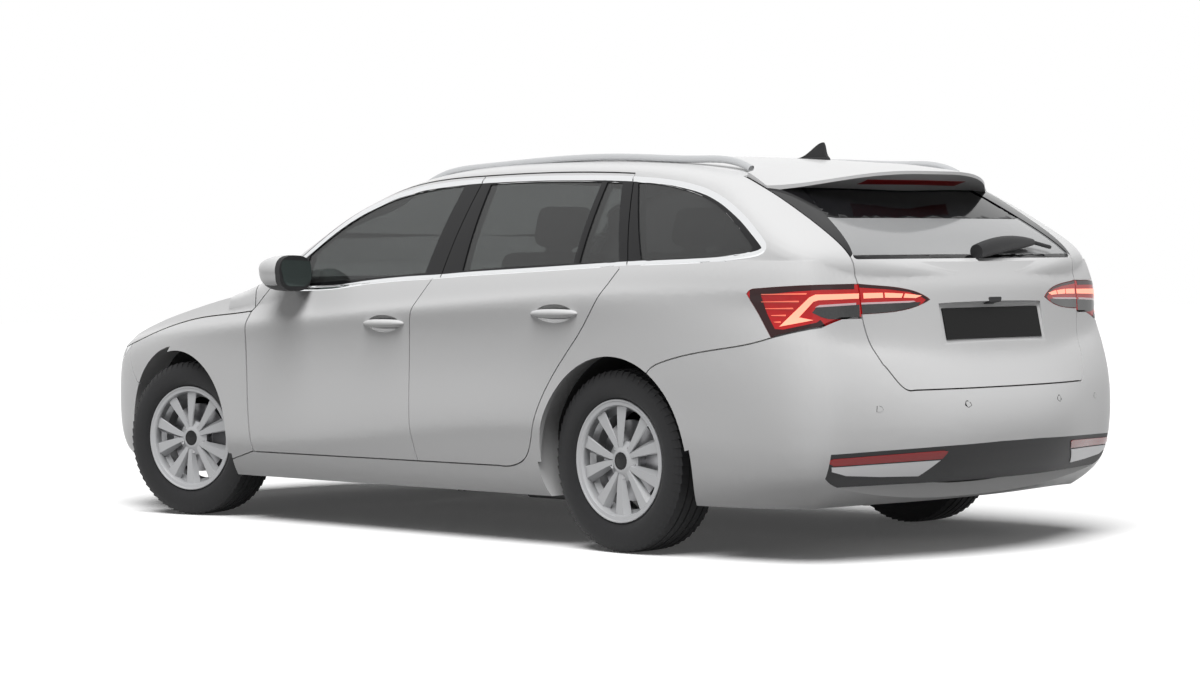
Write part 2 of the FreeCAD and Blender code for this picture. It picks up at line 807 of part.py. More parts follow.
NOSE_EDGE = [(1800, 560), (1860, 625), (1905, 724)]
FENDER = [
    [(911, 291), (929, 419), (942, 560), (946, 700), (936, 820), (928, 860)],
    [(928, 860), (926, 866)],
    [(926, 866), (1141, 851), (1326, 837), (1470, 816), (1611, 788), (1780, 748),
     (1905, 724)],
    NOSE_EDGE[::-1],
    [(1800, 560), (1600, 500)],
    [(1600, 500), (1463, 322)],
    [(1463, 322), (1150, 235)],
    [(1150, 235), (911, 291)],
]
HEADLAMP = [
    [(1880, 729), (1950, 716), (2100, 694), (2240, 674), (2480, 640)],
    [(2480, 640), (2480, 585)],
    [(2480, 585), (2200, 612), (2020, 652), (1880, 729)],
]
NOSE = [
    [(1905, 724), (1950, 716), (2100, 694), (2240, 674), (2480, 640)],
    [(2480, 640), (2480, 120)],
    [(2480, 120), (1600, 120)],
    [(1600, 120), (1600, 500)],
    [(1600, 500), (1800, 560)],
    NOSE_EDGE,
]
GRILLE = [
    [(-10, 655), (440, 655)],
    [(440, 655), (470, 600)],
    [(470, 600), (380, 470)],
    [(380, 470), (-10, 470)],
]
INTAKE = [
    [(-10, 400), (520, 400)],
    [(520, 400), (600, 330)],
    [(600, 330), (540, 262)],
    [(540, 262), (-10, 262)],
]
TAILGATE = [
    [(-10, 1600), (600, 1600)],
    [(600, 1600), (600, 1162)],
    [(600, 1162), (597, 1029), (589, 942), (584, 838), (560, 730), (540, 670)],
    [(540, 670), (497, 602), (478, 586), (450, 583)],
    [(450, 583), (-10, 583)],
]
BLADE_EDGE = [(584, 1042), (552, 1110), (510, 1200), (462, 1285)]
GATE_WINDOW = [
    [(-10, 1024), (574, 1024)],
    [(574, 1024), (586, 1030), (584, 1042)],
    BLADE_EDGE,
    [(462, 1285), (-10, 1306)],
]
BLADE = [
    BLADE_EDGE,
    [(462, 1285), (440, 1420)],
    [(440, 1420), (606, 1420)],
    [(606, 1420), (606, 1026)],
    [(606, 1026), (584, 1042)],
]
BODY_LAMP = [
    [(-1863, 912), (-1872, 924), (-1890, 931)],
    [(-1890, 931), (-2016, 938), (-2300, 944)],
    [(-2300, 944), (-2300, 838)],
    [(-2300, 838), (-2122, 828)],
    [(-2122, 828), (-2100, 800)],
    [(-2100, 800), (-1968, 767)],
    [(-1968, 767), (-1863, 912)],
]
GATE_LAMP = [
    [(588, 838), (476, 843), (380, 858), (311, 884)],
    [(311, 884), (345, 904), (400, 921), (486, 933), (588, 942)],
    [(588, 942), (600, 942)],
    [(600, 942), (600, 838)],
    [(600, 838), (588, 838)],
]
TAIL_BUMPER = [
    [(-1400, 600), (-1430, 652), (-1500, 682), (-1750, 726), (-1968, 765)],
    [(-1968, 765), (-2100, 798)],
    [(-2100, 798), (-2122, 826)],
    [(-2122, 826), (-2500, 838)],
    [(-2500, 838), (-2500, 100)],
    [(-2500, 100), (-1400, 100)],
    [(-1400, 100), (-1400, 600)],
]
VALANCE = [
    [(-10, 395), (109, 395)],
    [(109, 395), (353, 389)],
    [(353, 389), (756, 376)],
    [(756, 376), (756, 100)],
    [(756, 100), (-10, 100)],
]
ROOF_SEAM = along(-1622)

# Nested skins of the body: each is the outer surface moved in by a wall

outer_skin = body_solid(0, 0, 0)
flange_skin = body_solid(dim.flange_depth, dim.flange_depth, dim.flange_depth)
ledge_depth = dim.flange_depth + dim.shut_gap + 2
ledge_skin = body_solid(ledge_depth, ledge_depth, ledge_depth)
panel_skin = body_solid(dim.panel_wall, dim.panel_wall, dim.panel_wall)
cabin = body_solid(dim.door_wall, dim.upper_wall, dim.panel_wall)
glass_outer = upper_solid(dim.glass_inset)
glass_inner = upper_solid(dim.glass_inset + dim.glass_thickness)

FRONT_WHEEL_Y = dim.front_track / 2
REAR_WHEEL_Y = dim.rear_track / 2
AXLE_Z = dim.tyre_radius
ARCH_Y = HALF_WIDTH - dim.arch_lip


def wheel_space(x, depth, lip_radius, inner_radius):
    """The space of one wheel: the arch opening and the wider well behind its lip."""
    return across(x, ARCH_Y - 1, FAR, AXLE_Z, lip_radius).fuse(
        across(x, ARCH_Y - depth, ARCH_Y, AXLE_Z, inner_radius))


front_space = wheel_space(FRONT_AXLE, dim.front_well_depth, dim.arch_radius,
                          dim.well_radius)
rear_space = wheel_space(REAR_AXLE, dim.rear_well_depth, dim.arch_radius,
                         dim.well_radius)

half_wall = outer_skin.cut(cabin).common(LEFT_HALF).cut([front_space, rear_space])

pieces = {}
objects = {}


def keep(name, shape):
    """Hold one finished sub-part, ready to become an object of the document."""
    pieces[name] = shape


def keep_object(name, item):
    """Hold a finished sub-part that is an object of the document already."""
    item.Label = name
    objects[name] = item


def less(shape, cutters):
    """The shape with each cutter taken away in turn."""
    for cutter in cutters:
        shape = shape.cut(cutter)
    return shape


# Doors: a skin flange on a narrower inner box, with the windows cut through

SIDE_LOW = 430.0


def ellipsoid(centre, length, width, height):
    """A ball stretched to three half lengths."""
    stretch_by = FreeCAD.Matrix()
    stretch_by.scale(length, width, height)
    ball = Part.makeSphere(1.0).transformGeometry(stretch_by)
    ball.translate(centre)
    return ball


HANDLE_DEPTH = HALF_WIDTH - 8


def handle(x, z):
    """A pull bar over its finger bowl: what it adds to a door and what it cuts."""
    centre = V(along(x), HANDLE_DEPTH, above(z))
    half = dim.handle_length / 2
    bar_shape = ellipsoid(centre, half, 27, 20).cut(ellipsoid(centre, half - 30, 16, 60))
    bowl = ellipsoid(centre, half - 26, dim.handle_bowl_depth, 34)
    return bar_shape, bowl


STRIKER_DEPTH = HALF_WIDTH - 62


def striker(x0, x1, z):
    """A latch striker on the frame and the notch that a door closes over it with."""
    pin = Part.makeCylinder(dim.striker_radius, x1 - x0, V(x0, STRIKER_DEPTH, z), V(1, 0, 0))
    reach = STRIKER_DEPTH + dim.striker_radius + dim.seal_gap
    notch = block(x0 - 30, x1 + 6, SIDE_LOW, reach, z - 14, z + 14)
    return pin, notch


FRONT_STRIKER = striker(along(-84), along(-46), above(600))
REAR_STRIKER = striker(along(-1104), along(-1052), above(800))
FRONT_HANDLE = handle(29, 814)
REAR_HANDLE = handle(-952, 850)


def door(groups, windows, hand, catch):
    full = outline(groups, side_point)
    flange = side_prism(full, SIDE_LOW, FAR).common(half_wall).cut(flange_skin)
    box = side_prism(grown(full, -dim.flange_width), SIDE_LOW, FAR)
    box = box.common(half_wall).common(flange_skin)
    box = box.cut(side_prism(outline(pillar(dim.pillar_width / 2 + dim.inner_gap),
                                     side_point), SIDE_LOW, FAR))
    shape = flange.fuse(box)
    for window in windows:
        shape = shape.cut(side_prism(outline(window, side_point), SIDE_LOW, FAR))
    pull, bowl = hand
    return shape.cut(catch[1]).cut(bowl).fuse(pull)


def glass(windows):
    panes = []
    for window in windows:
        wire = grown(outline(window, side_point), -dim.seal_gap)
        panes.append(side_prism(wire, SIDE_LOW, FAR).common(glass_outer).cut(glass_inner))
    return Part.makeCompound(panes)


def door_cutters(groups):
    """What a door's opening takes from the body: a wide step and a narrower hole."""
    full = outline(groups, side_point)
    step = side_prism(grown(full, dim.shut_gap), SIDE_LOW, FAR).cut(ledge_skin)
    hole = side_prism(grown(full, dim.inner_gap - dim.flange_width), SIDE_LOW, FAR)
    middle = side_prism(outline(pillar(dim.pillar_width / 2), side_point), SIDE_LOW, FAR)
    return [step, hole.cut(middle)]


front_door = door(FRONT_DOOR, [FRONT_WINDOW], FRONT_HANDLE, FRONT_STRIKER)
rear_door = door(REAR_DOOR, [REAR_WINDOW, REAR_QUARTERLIGHT], REAR_HANDLE, REAR_STRIKER)
keep("door_front_left", front_door)
keep("door_front_right", mirrored(front_door))
keep("door_rear_left", rear_door)
keep("door_rear_right", mirrored(rear_door))
front_glass = glass([FRONT_WINDOW])
rear_glass = glass([REAR_WINDOW, REAR_QUARTERLIGHT])
keep("glass_front_left", front_glass)
keep("glass_front_right", mirrored(front_glass))
keep("glass_rear_left", rear_glass)
keep("glass_rear_right", mirrored(rear_glass))

# Regions of the fixed and hinged panels

LONG = 2 * HALF


def zone_side(groups, by, low=SIDE_LOW):
    return side_prism(grown(outline(groups, side_point), by), low, FAR)


def zone_rear(groups, by, x0, x1):
    return rear_prism(grown(outline(groups, rear_point), by), x0, x1)


def bonnet_zone(by):
    plan = plan_prism(grown(outline(BONNET_PLAN, plan_point), by), 0, dim.roof_height)
    return zone_side(BONNET_SIDE, by, -20).common(plan)


def gate_zone(by):
    return zone_rear(TAILGATE, by, -LONG, ROOF_SEAM + by)


def groove(groups, low):
    """A shut line cut a flange deep round a fixed panel."""
    ring = zone_side(groups, dim.shut_gap / 2, low)
    ring = ring.cut(zone_side(groups, -dim.shut_gap / 2, low - 1))
    return ring.cut(flange_skin)


WINDSCREEN = [
    [(-10, 1002), (300, 1002), (600, 1000), (790, 990)],
    [(790, 990), (768, 1100), (704, 1235), (640, 1322), (596, 1350)],
    [(596, 1350), (300, 1372), (-10, 1379)],
    [(-10, 1379), (-10, 1002)],
]
bonnet = outer_skin.cut(panel_skin).common(LEFT_HALF).common(bonnet_zone(0))
bonnet = bonnet.cut(zone_rear(WINDSCREEN, dim.shut_gap, along(100), LONG))
bonnet_hole = bonnet_zone(dim.shut_gap)
gate_hole = gate_zone(dim.shut_gap)
panel_wall = less(half_wall, [groove(FENDER, SIDE_LOW), groove(NOSE, -20),
                              groove(TAIL_BUMPER, -20)])

# Lamps are lenses a flange deep, seated on the panel behind them

LENS_GAP = dim.shut_gap / 2
lens_layer = half_wall.cut(flange_skin)
headlamp = lens_layer.common(zone_side(HEADLAMP, -LENS_GAP, 455)).cut(bonnet_hole)
headlamp_seat = zone_side(HEADLAMP, 0, 452).cut(flange_skin)
body_lamp = lens_layer.common(zone_side(BODY_LAMP, -LENS_GAP, 500)).cut(gate_hole)
body_lamp_seat = zone_side(BODY_LAMP, 0, 497).cut(flange_skin)
gate_edge = gate_zone(0)
gate_lamp = lens_layer.common(zone_rear(GATE_LAMP, -LENS_GAP, -LONG, -2000))
gate_lamp = gate_lamp.common(gate_edge)
gate_lamp_seat = zone_rear(GATE_LAMP, 0, -LONG, -2000).cut(flange_skin)

fender = less(half_wall.common(zone_side(FENDER, 0)),
              [bonnet_hole, headlamp_seat, groove(FENDER, SIDE_LOW)])
grille_hole = zone_rear(GRILLE, 0, HALF - 400, LONG)
intake_hole = zone_rear(INTAKE, 0, HALF - 400, LONG)
nose = less(half_wall.common(zone_side(NOSE, 0, -20)),
            [bonnet_hole, headlamp_seat, grille_hole, intake_hole, groove(NOSE, -20)])
valance_zone = zone_rear(VALANCE, 0, -LONG, along(-2120))
tail_bumper = less(panel_wall.common(zone_side(TAIL_BUMPER, 0, -20)),
                   [gate_hole, body_lamp_seat, valance_zone])
valance = panel_wall.common(valance_zone).common(
    block(-LONG, 0, 0, FAR, above(262), above(500))).cut(gate_hole)

gate_window_hole = zone_rear(GATE_WINDOW, 0, -LONG, -1700)
blade = lens_layer.common(zone_rear(BLADE, -dim.seal_gap, -LONG, ROOF_SEAM - 4))
blade = blade.common(gate_edge)
blade_seat = zone_rear(BLADE, 0, -LONG, ROOF_SEAM - 4).cut(flange_skin)
gate = less(half_wall.common(gate_edge), [gate_window_hole, gate_lamp_seat, blade_seat])
GATE_STRIKER_X = along(-2226)
GATE_STRIKER_Z = above(583)
gate_striker = Part.makeCylinder(dim.striker_radius, 36,
                                 V(GATE_STRIKER_X, 0, GATE_STRIKER_Z - 20))
gate_notch = block(GATE_STRIKER_X - dim.striker_radius - dim.seal_gap, 0, -14, 14,
                   GATE_STRIKER_Z - 40, GATE_STRIKER_Z + 22)

# The blank number plate lies in a shallow tray of the gate

PLATE_FACE_X = along(-2232)
PLATE_Z = above(dim.plate_centre_height)
TRAY_DEPTH = 10.0
tray = block(-LONG, TRAY_DEPTH, -1, dim.plate_width / 2 + 18, -dim.plate_height / 2 - 16,
             dim.plate_height / 2 + 16)
tray.rotate(V(0, 0, 0), V(0, 1, 0), dim.plate_tilt)
tray.translate(V(PLATE_FACE_X, 0, PLATE_Z))
gate = gate.cut(gate_notch).cut(tray)
gate_glass = glass_outer.cut(glass_inner).common(
    zone_rear(GATE_WINDOW, -dim.seal_gap, -LONG, -1700)).common(LEFT_HALF)

# The spoiler carries the roof line on past the glass

SPOILER_TOP = flowing([(-1560, 1389), (-1630, 1381), (-1720, 1373), (-1800, 1364),
                       (-1900, 1350), (-2000, 1333), (-2080, 1318)])
SPOILER_DROP = flowing([(-1560, 30), (-1620, 36), (-1720, 84), (-1800, 118), (-2080, 200)])
SPOILER_EDGE = [(-1720, 597), (-1785, 510), (-1868, 400), (-1958, 200), (-1992, 0)]
SPOILER_BACK = flowing([(y, x) for x, y in SPOILER_EDGE])
SPOILER_PLAN = [
    [(-1630, 0), (-1630, 597)],
    [(-1630, 597), (-1720, 597)],
    SPOILER_EDGE,
    [(-1992, 0), (-1630, 0)],
]


def spoiler_face(lower):
    """The spoiler's top, or the underside that runs forward and down from its lip."""
    net = []
    for x in (-1560, -1620, -1680, -1740, -1800, -1860, -1920, -1990, -2080):
        row = []
        for y in (-200, -100, 0, 100, 200, 300, 400, 500, 600, 700):
            z = SPOILER_TOP(x) - SPOILER_DROP(x) * (abs(y) / 595) ** 3.0
            if lower:
                z -= 13 + 0.45 * (x - SPOILER_BACK(abs(y)))
            row.append(V(along(x), aside(y), above(z)))
        net.append(row)
    return net_face(net)


def spoiler_piece():
    slab = spoiler_face(False).extrude(V(0, 0, -300))
    slab = slab.common(spoiler_face(True).extrude(V(0, 0, 400)))
    plan = plan_prism(outline(SPOILER_PLAN, plan_point), above(900), above(1600))
    return slab.common(plan).cut(outer_skin)


spoiler = spoiler_piece()

# Windscreen

windscreen_hole = zone_rear(WINDSCREEN, 0, 100, LONG)
windscreen = glass_outer.cut(glass_inner).common(
    zone_rear(WINDSCREEN, -dim.seal_gap, 100, LONG)).common(LEFT_HALF)

# The frame keeps what no panel takes

quarter_hole = zone_side(QUARTER_WINDOW, 0)
frame_cutters = door_cutters(FRONT_DOOR) + door_cutters(REAR_DOOR) + [
    zone_side(FENDER, 0), zone_side(NOSE, 0, -20),
    zone_side(TAIL_BUMPER, 0, -20), valance_zone, bonnet_hole, gate_hole, body_lamp_seat, headlamp_seat,
    quarter_hole, windscreen_hole]
frame_half = max(less(panel_wall, frame_cutters).Solids, key=lambda part: part.Volume)


def joined(left):
    """A piece that crosses the centre line, from its left half."""
    return left.fuse(mirrored(left))


frame_half = frame_half.fuse([FRONT_STRIKER[0], REAR_STRIKER[0]])
keep("body_frame", joined(frame_half))
keep("bonnet", joined(bonnet))
keep("front_fenders", both(fender))
keep("front_bumper", joined(nose))
keep("headlamps", both(headlamp))
keep("rear_bumper", joined(tail_bumper).fuse(gate_striker))
keep("rear_valance", joined(valance))
keep("tailgate", joined(gate))
keep("tailgate_glass", joined(gate_glass))
keep("tailgate_blades", both(blade))
keep("tailgate_lamps", both(gate_lamp))
keep("body_lamps", both(body_lamp))
keep("spoiler", joined(spoiler))
keep("windscreen", joined(windscreen))
keep("quarter_glass", both(glass([QUARTER_WINDOW])))


# Floor, bulkhead and wheel liners

FLOOR_LOW = dim.underside_height + 7
REAR_FLOOR_Z = above(400)
HEEL_X = along(-1000)
cavity_half = cabin.common(LEFT_HALF)
BULKHEAD_X = along(1010)
LOAD_FLOOR_Z = above(610)


def floor_half():
    sheet_low = block(along(-1000), BULKHEAD_X, 0, FAR, FLOOR_LOW,
                      FLOOR_LOW + dim.floor_thickness)
    tunnel_out = block(along(-1000), BULKHEAD_X, 0, 140, FLOOR_LOW, FLOOR_LOW + 170)
    tunnel_in = block(along(-1100), BULKHEAD_X + 10, -10, 116, FLOOR_LOW - 10,
                      FLOOR_LOW + 146)
    heel = block(HEEL_X - dim.floor_thickness, HEEL_X, 0, FAR, FLOOR_LOW, REAR_FLOOR_Z)
    rear = block(-HALF, along(-1000), 0, FAR, REAR_FLOOR_Z - dim.floor_thickness,
                 REAR_FLOOR_Z)
    bulkhead = block(BULKHEAD_X, BULKHEAD_X + 20, 0, FAR, FLOOR_LOW, above(900))
    shape = sheet_low.fuse([tunnel_out, heel, rear, bulkhead]).cut(tunnel_in)
    shape = shape.common(cavity_half)
    return less(shape, [
        across(FRONT_AXLE, ARCH_Y - dim.front_well_depth - dim.liner_wall, FAR, AXLE_Z,
               dim.well_radius + dim.liner_wall),
        across(REAR_AXLE, ARCH_Y - dim.rear_well_depth - dim.liner_wall, FAR, AXLE_Z,
               dim.well_radius + dim.liner_wall)])


def liner(x, depth, low):
    """A wheel-well liner: a curved wall and an inner disc, open below a height."""
    wall = dim.liner_wall
    outer = across(x, ARCH_Y - depth - wall, ARCH_Y - 2, AXLE_Z, dim.well_radius + wall)
    inner = across(x, ARCH_Y - depth, FAR, AXLE_Z, dim.well_radius)
    shape = outer.cut(inner).common(cavity_half)
    return shape.cut(block(x - 600, x + 600, 0, FAR, 0, low))


keep("floor_pan", joined(floor_half()))
keep("wheel_liners", Part.makeCompound([
    both(liner(FRONT_AXLE, dim.front_well_depth, above(300))),
    both(liner(REAR_AXLE, dim.rear_well_depth, above(402)))]))
load_floor = block(along(-2140), along(-1130), 0, FAR, LOAD_FLOOR_Z - 14, LOAD_FLOOR_Z)
load_floor = load_floor.common(cavity_half).cut(
    across(REAR_AXLE, ARCH_Y - dim.rear_well_depth - dim.liner_wall, FAR, AXLE_Z,
           dim.well_radius + dim.liner_wall)).cut(gate_hole)
load_sides = block(along(-2140), along(-1130), 590, 604, REAR_FLOOR_Z, LOAD_FLOOR_Z - 14)
load_sides = load_sides.common(cavity_half)
keep("load_floor", joined(load_floor.fuse(load_sides).cut(gate_hole)))


# Cabin furniture

def soft_block(x0, x1, y0, y1, z0, z1, radius):
    """A block with all its edges rounded."""
    shape = block(x0, x1, y0, y1, z0, z1)
    return shape.makeFillet(radius, shape.Edges)


FRONT_SEAT_X = along(-180)
REAR_SEAT_X = along(-1020)
FLOOR_TOP = FLOOR_LOW + dim.floor_thickness


def seat(x, y, width, back_height, tilt):
    """A seat: base, cushion, leaning back and head restraint."""
    low = y - width / 2
    high = y + width / 2
    top = dim.cushion_height + 130
    thick = dim.seat_thickness
    base = block(x + 40, x + dim.seat_depth - 60, low + 70, high - 70, FLOOR_TOP,
                 top - thick + 20)
    cushion = soft_block(x, x + dim.seat_depth, low, high, top - thick, top, 40)
    back = soft_block(x - thick + 30, x + 30, low + 15, high - 15, top - 70,
                      top + back_height, 45)
    rest = soft_block(x - thick + 50, x, y - 130, y + 130, top + back_height + 30,
                      top + back_height + 190, 36)
    stems = block(x - 50, x - 30, y - 60, y + 60, top + back_height - 20,
                  top + back_height + 60)
    lean = back.fuse([rest, stems])
    lean.rotate(V(x, y, top), V(0, 1, 0), -tilt)
    return base.fuse([cushion, lean])


SEAT_Y = dim.seat_spacing / 2
keep("front_seats", both(seat(FRONT_SEAT_X, SEAT_Y, dim.seat_width,
                              dim.seat_back_height - 60, 18)))
bench_width = 1180.0
bench_top = dim.cushion_height + 120
bench = soft_block(REAR_SEAT_X, REAR_SEAT_X + 500, -bench_width / 2, bench_width / 2,
                   REAR_FLOOR_Z + 2, bench_top, 45)
bench_base = block(REAR_SEAT_X + 30, REAR_SEAT_X + 440, -bench_width / 2 + 60,
                   bench_width / 2 - 60, FLOOR_TOP + 146, bench_top - 120)
bench_back = soft_block(REAR_SEAT_X - 90, REAR_SEAT_X + 40, -bench_width / 2,
                        bench_width / 2, bench_top - 60, bench_top + 520, 45)
bench_back.rotate(V(REAR_SEAT_X, 0, bench_top), V(0, 1, 0), -12)
keep("rear_bench", bench.fuse([bench_base, bench_back]))

DASH_X = along(560)
dash = soft_block(DASH_X, along(880), -760, 760, above(700), above(930), 60)
dash_low = block(DASH_X + 90, BULKHEAD_X, -700, 700, above(560), above(760))
console = block(along(-250), DASH_X + 120, -110, 110, FLOOR_LOW + 170, above(560))
keep("dashboard", dash.fuse([dash_low, console]).common(cabin))

WHEEL_CENTRE = V(along(430), SEAT_Y, above(790))
rim_ring = Part.makeTorus(dim.steering_wheel_radius, 15)
wheel_hub = Part.makeCylinder(62, 40, V(0, 0, -10))
wheel_bar = block(-dim.steering_wheel_radius, dim.steering_wheel_radius, -18, 18, -4, 12)
wheel_stem = block(-18, 18, -dim.steering_wheel_radius, 0, -4, 12)
column = Part.makeCylinder(28, 330, V(0, 0, 0))
steering_wheel = rim_ring.fuse([wheel_hub, wheel_bar, wheel_stem, column])
steering_wheel.rotate(V(0, 0, 0), V(0, 0, 1), 90)
steering_wheel.rotate(V(0, 0, 0), V(0, 1, 0), 114)
steering_wheel.translate(WHEEL_CENTRE)
keep("steering_wheel", steering_wheel.cut(pieces["dashboard"]))

# Roof rails and aerial

RAIL_LINE = [(150, 1378), (70, 1404), (-180, 1427), (-600, 1437), (-1000, 1429),
             (-1350, 1407), (-1540, 1389), (-1612, 1362)]
RAIL_Y = aside(560)


def rail():
    curve = Part.BSplineCurve()
    curve.interpolate([V(along(x), RAIL_Y, above(z) - dim.rail_radius)
                       for x, z in RAIL_LINE])
    path = curve.toShape()
    start = path.Vertexes[0].Point
    ring = Part.Wire(Part.makeCircle(dim.rail_radius, start, path.tangentAt(0)))
    pipe = Part.Wire(path).makePipeShell([ring], True, False)
    return pipe.cut(outer_skin)


keep("roof_rails", both(rail()))


def ellipse_wire(x, z, length, width):
    curve = Part.Ellipse(V(x + length / 2, 0, z), V(x, width / 2, z), V(x, 0, z))
    return Part.Wire(curve.toShape())


AERIAL_FIN = [
    [(-1262, 1380), (-1276, 1402), (-1330, 1409), (-1375, 1426), (-1408, 1448), (-1432, 1460),
     (-1444, 1462)],
    [(-1444, 1462), (-1452, 1440), (-1456, 1420), (-1470, 1404)],
    [(-1470, 1404), (-1476, 1380)],
    [(-1476, 1380), (-1262, 1380)],
]
aerial_foot = Part.makeLoft([
    ellipse_wire(along(-1369), above(1376), 214, 74),
    ellipse_wire(along(-1369), above(1402), 206, 62),
    ellipse_wire(along(-1369), above(1408), 188, 44)], True, True)
aerial_fin = Part.makeLoft([
    ellipse_wire(along(-1372), above(1398), 210, 30),
    ellipse_wire(along(-1372), above(1468), 200, 9)], True, True)
aerial = aerial_foot.fuse(aerial_fin).common(
    side_prism(outline(AERIAL_FIN, side_point), -60, 60))
keep("aerial", aerial.cut(outer_skin))

# Door mirrors, held by an arm at the front corner of the window

# x, y, z of the housing's section centre, half width and half height
MIRROR_SECTIONS = [
    (529, 950, 1014, 78, 70), (575, 951, 1015, 80, 71), (640, 950, 1016, 74, 66),
    (695, 947, 1022, 58, 50), (730, 945, 1032, 36, 28), (748, 944, 1038, 12, 9),
]


def oval(x, y, z, half_y, half_z):
    """A rounded rectangular loop across the car."""
    points = []
    for step in range(16):
        turn = math.radians(22.5 * step)
        c = math.cos(turn)
        d = math.sin(turn)
        points.append(V(along(x), aside(y) + half_y * math.copysign(abs(c) ** 0.72, c),
                        above(z) + half_z * math.copysign(abs(d) ** 0.72, d)))
    curve = Part.BSplineCurve()
    curve.interpolate(points, PeriodicFlag=True)
    return Part.Wire(curve.toShape())


def door_mirror():
    shell = Part.makeLoft([oval(*section) for section in MIRROR_SECTIONS], True, False)
    arm = soft_block(along(650), along(712), 810, aside(940), above(962), above(990), 12)
    return shell.fuse(arm).cut(outer_skin)


mirror = door_mirror()
keep("mirror_left", mirror)
keep("mirror_right", mirrored(mirror))

# Grille and intake: bars over a dark back plate

GRILLE_BACK = HALF - 88


def barred(hole_groups, bars):
    """Bars and a back plate that fill an opening in the nose."""
    zone = zone_rear(hole_groups, -dim.seal_gap, HALF - 400, LONG)
    layer = outer_skin.cut(panel_skin).common(LEFT_HALF).common(zone)
    plate = zone.common(block(GRILLE_BACK - 6, GRILLE_BACK, 0, FAR, 0, FAR))
    solids = [plate.common(outer_skin)]
    for bar_block in bars:
        solids.append(layer.common(bar_block))
        solids.append(bar_block.common(zone).common(outer_skin).common(
            block(GRILLE_BACK, LONG, 0, FAR, 0, FAR)))
    shape = solids[0].fuse(solids[1:]).cut(headlamp_seat)
    return joined(shape)


grille_bars = [block(HALF - 300, HALF + 50, y, y + 9, above(460), above(660))
               for y in range(0, 470, 46)]
intake_bars = [block(HALF - 300, HALF + 50, 0, FAR, above(z), above(z) + 9)
               for z in (285, 330, 375)]
keep("grille", barred(GRILLE, grille_bars))
keep("front_intake", barred(INTAKE, intake_bars))

# Running gear that shows from below

keep_object("engine", stood(
    padded_body("engine", rectangle(FRONT + " - engine_length / 2", FRONT + " + engine_length / 2",
                                    "-engine_width / 2", "engine_width / 2"),
                "XY_Plane", "engine_height", "2 * edge_round"), "0", "0", "engine_low"))
SUBFRAME_TOP = above(262)
subframe = block(along(1180), along(1700), -400, 400, above(215), SUBFRAME_TOP)
subframe = subframe.cut(block(along(1280), along(1600), -300, 300, 0, above(300)))
engine_feet = both(block(along(1210), along(1270), 180, 240, SUBFRAME_TOP, dim.engine_low).fuse(
    block(along(1610), along(1670), 180, 240, SUBFRAME_TOP, dim.engine_low)))

KINGPIN_Y = FRONT_WHEEL_Y - dim.kingpin_inset
BALL_LOW = AXLE_Z - 105
BALL_HIGH = AXLE_Z + 105


def lower_arm():
    """One front arm, from the subframe to the lower ball joint, with its strut."""
    ball = V(FRONT_AXLE, KINGPIN_Y, BALL_LOW - 24)
    front = bar(V(FRONT_AXLE + 150, 385, above(234)), ball, 16)
    rear = bar(V(FRONT_AXLE - 170, 385, above(234)), ball, 16)
    socket = Part.makeCylinder(26, 26, V(FRONT_AXLE, KINGPIN_Y, BALL_LOW - 30))
    return front.fuse([rear, socket])


FRONT_SUPPORT = "(front_track / 2 - kingpin_inset)"


def strut_items():
    """The left strut: tube, spring, upper bracket and swivel socket."""
    leg = FRONT_SUPPORT + " - 106"
    seat_rule = "(tyre_radius + sqrt(well_radius * well_radius - %s * %s) - seal_gap)"
    low = "(tyre_radius + 105)"
    spring_low = "(2 * tyre_radius + 14)"
    return [
        rod_item("strut_tube", "strut_radius",
                 seat_rule % ("strut_radius", "strut_radius") + " - " + low,
                 (FRONT, leg, low), V(0, 0, 1)),
        rod_item("strut_spring", "spring_radius",
                 seat_rule % ("spring_radius", "spring_radius") + " - " + spring_low,
                 (FRONT, leg, spring_low), V(0, 0, 1)),
        box_item("strut_bracket", (FRONT + " - 22", FRONT + " + 22"), (leg, FRONT_SUPPORT),
                 (low + " + 4", low + " + 26")),
        rod_item("strut_socket", "26", "22", (FRONT, FRONT_SUPPORT, low + " + 4"), V(0, 0, 1)),
    ]


keep("front_subframe", subframe.fuse([engine_feet, lower_arm(), mirrored(lower_arm())]))
keep_object("front_struts", pair_item("front_struts", fused_item("strut_left", strut_items())))

HUB_Y = REAR_WHEEL_Y + dim.rim_offset
HEEL_RULE = "(overall_length / 2 - front_overhang - wheelbase + wheelbase * 223 / 2686" \
            " - floor_thickness)"


def axle_items():
    """The rear beam, with a trailing arm, a carrier and a spindle at each end."""
    hub = "(rear_track / 2 + rim_offset)"
    items = [rod_item("axle_beam", "beam_radius", "1120", (REAR + " + 140", "-560", "300"),
                      V(0, 1, 0))]
    for side, sign, low in (("left", "", "(560)"), ("right", "-", "(-606)")):
        way = V(0, -1 if sign else 1, 0)
        items += [
            box_item("axle_arm_" + side, (REAR + " - 40", HEEL_RULE + " - seal_gap"),
                     (low, low + " + 46"), ("270", "340")),
            rod_item("axle_carrier_" + side, "48", hub + " - 650",
                     (REAR, sign + "590", "tyre_radius"), way),
            rod_item("axle_spindle_" + side, "hub_bore_radius - 0.05", "84",
                     (REAR, "%s(%s - 62)" % (sign, hub), "tyre_radius"), way)]
    return items


def spindle(x, hub_y):
    """The stub that a wheel turns on, inside the hub bore with running room."""
    return across(x, hub_y - 62, hub_y + 22, AXLE_Z, dim.hub_bore_radius - 0.05)


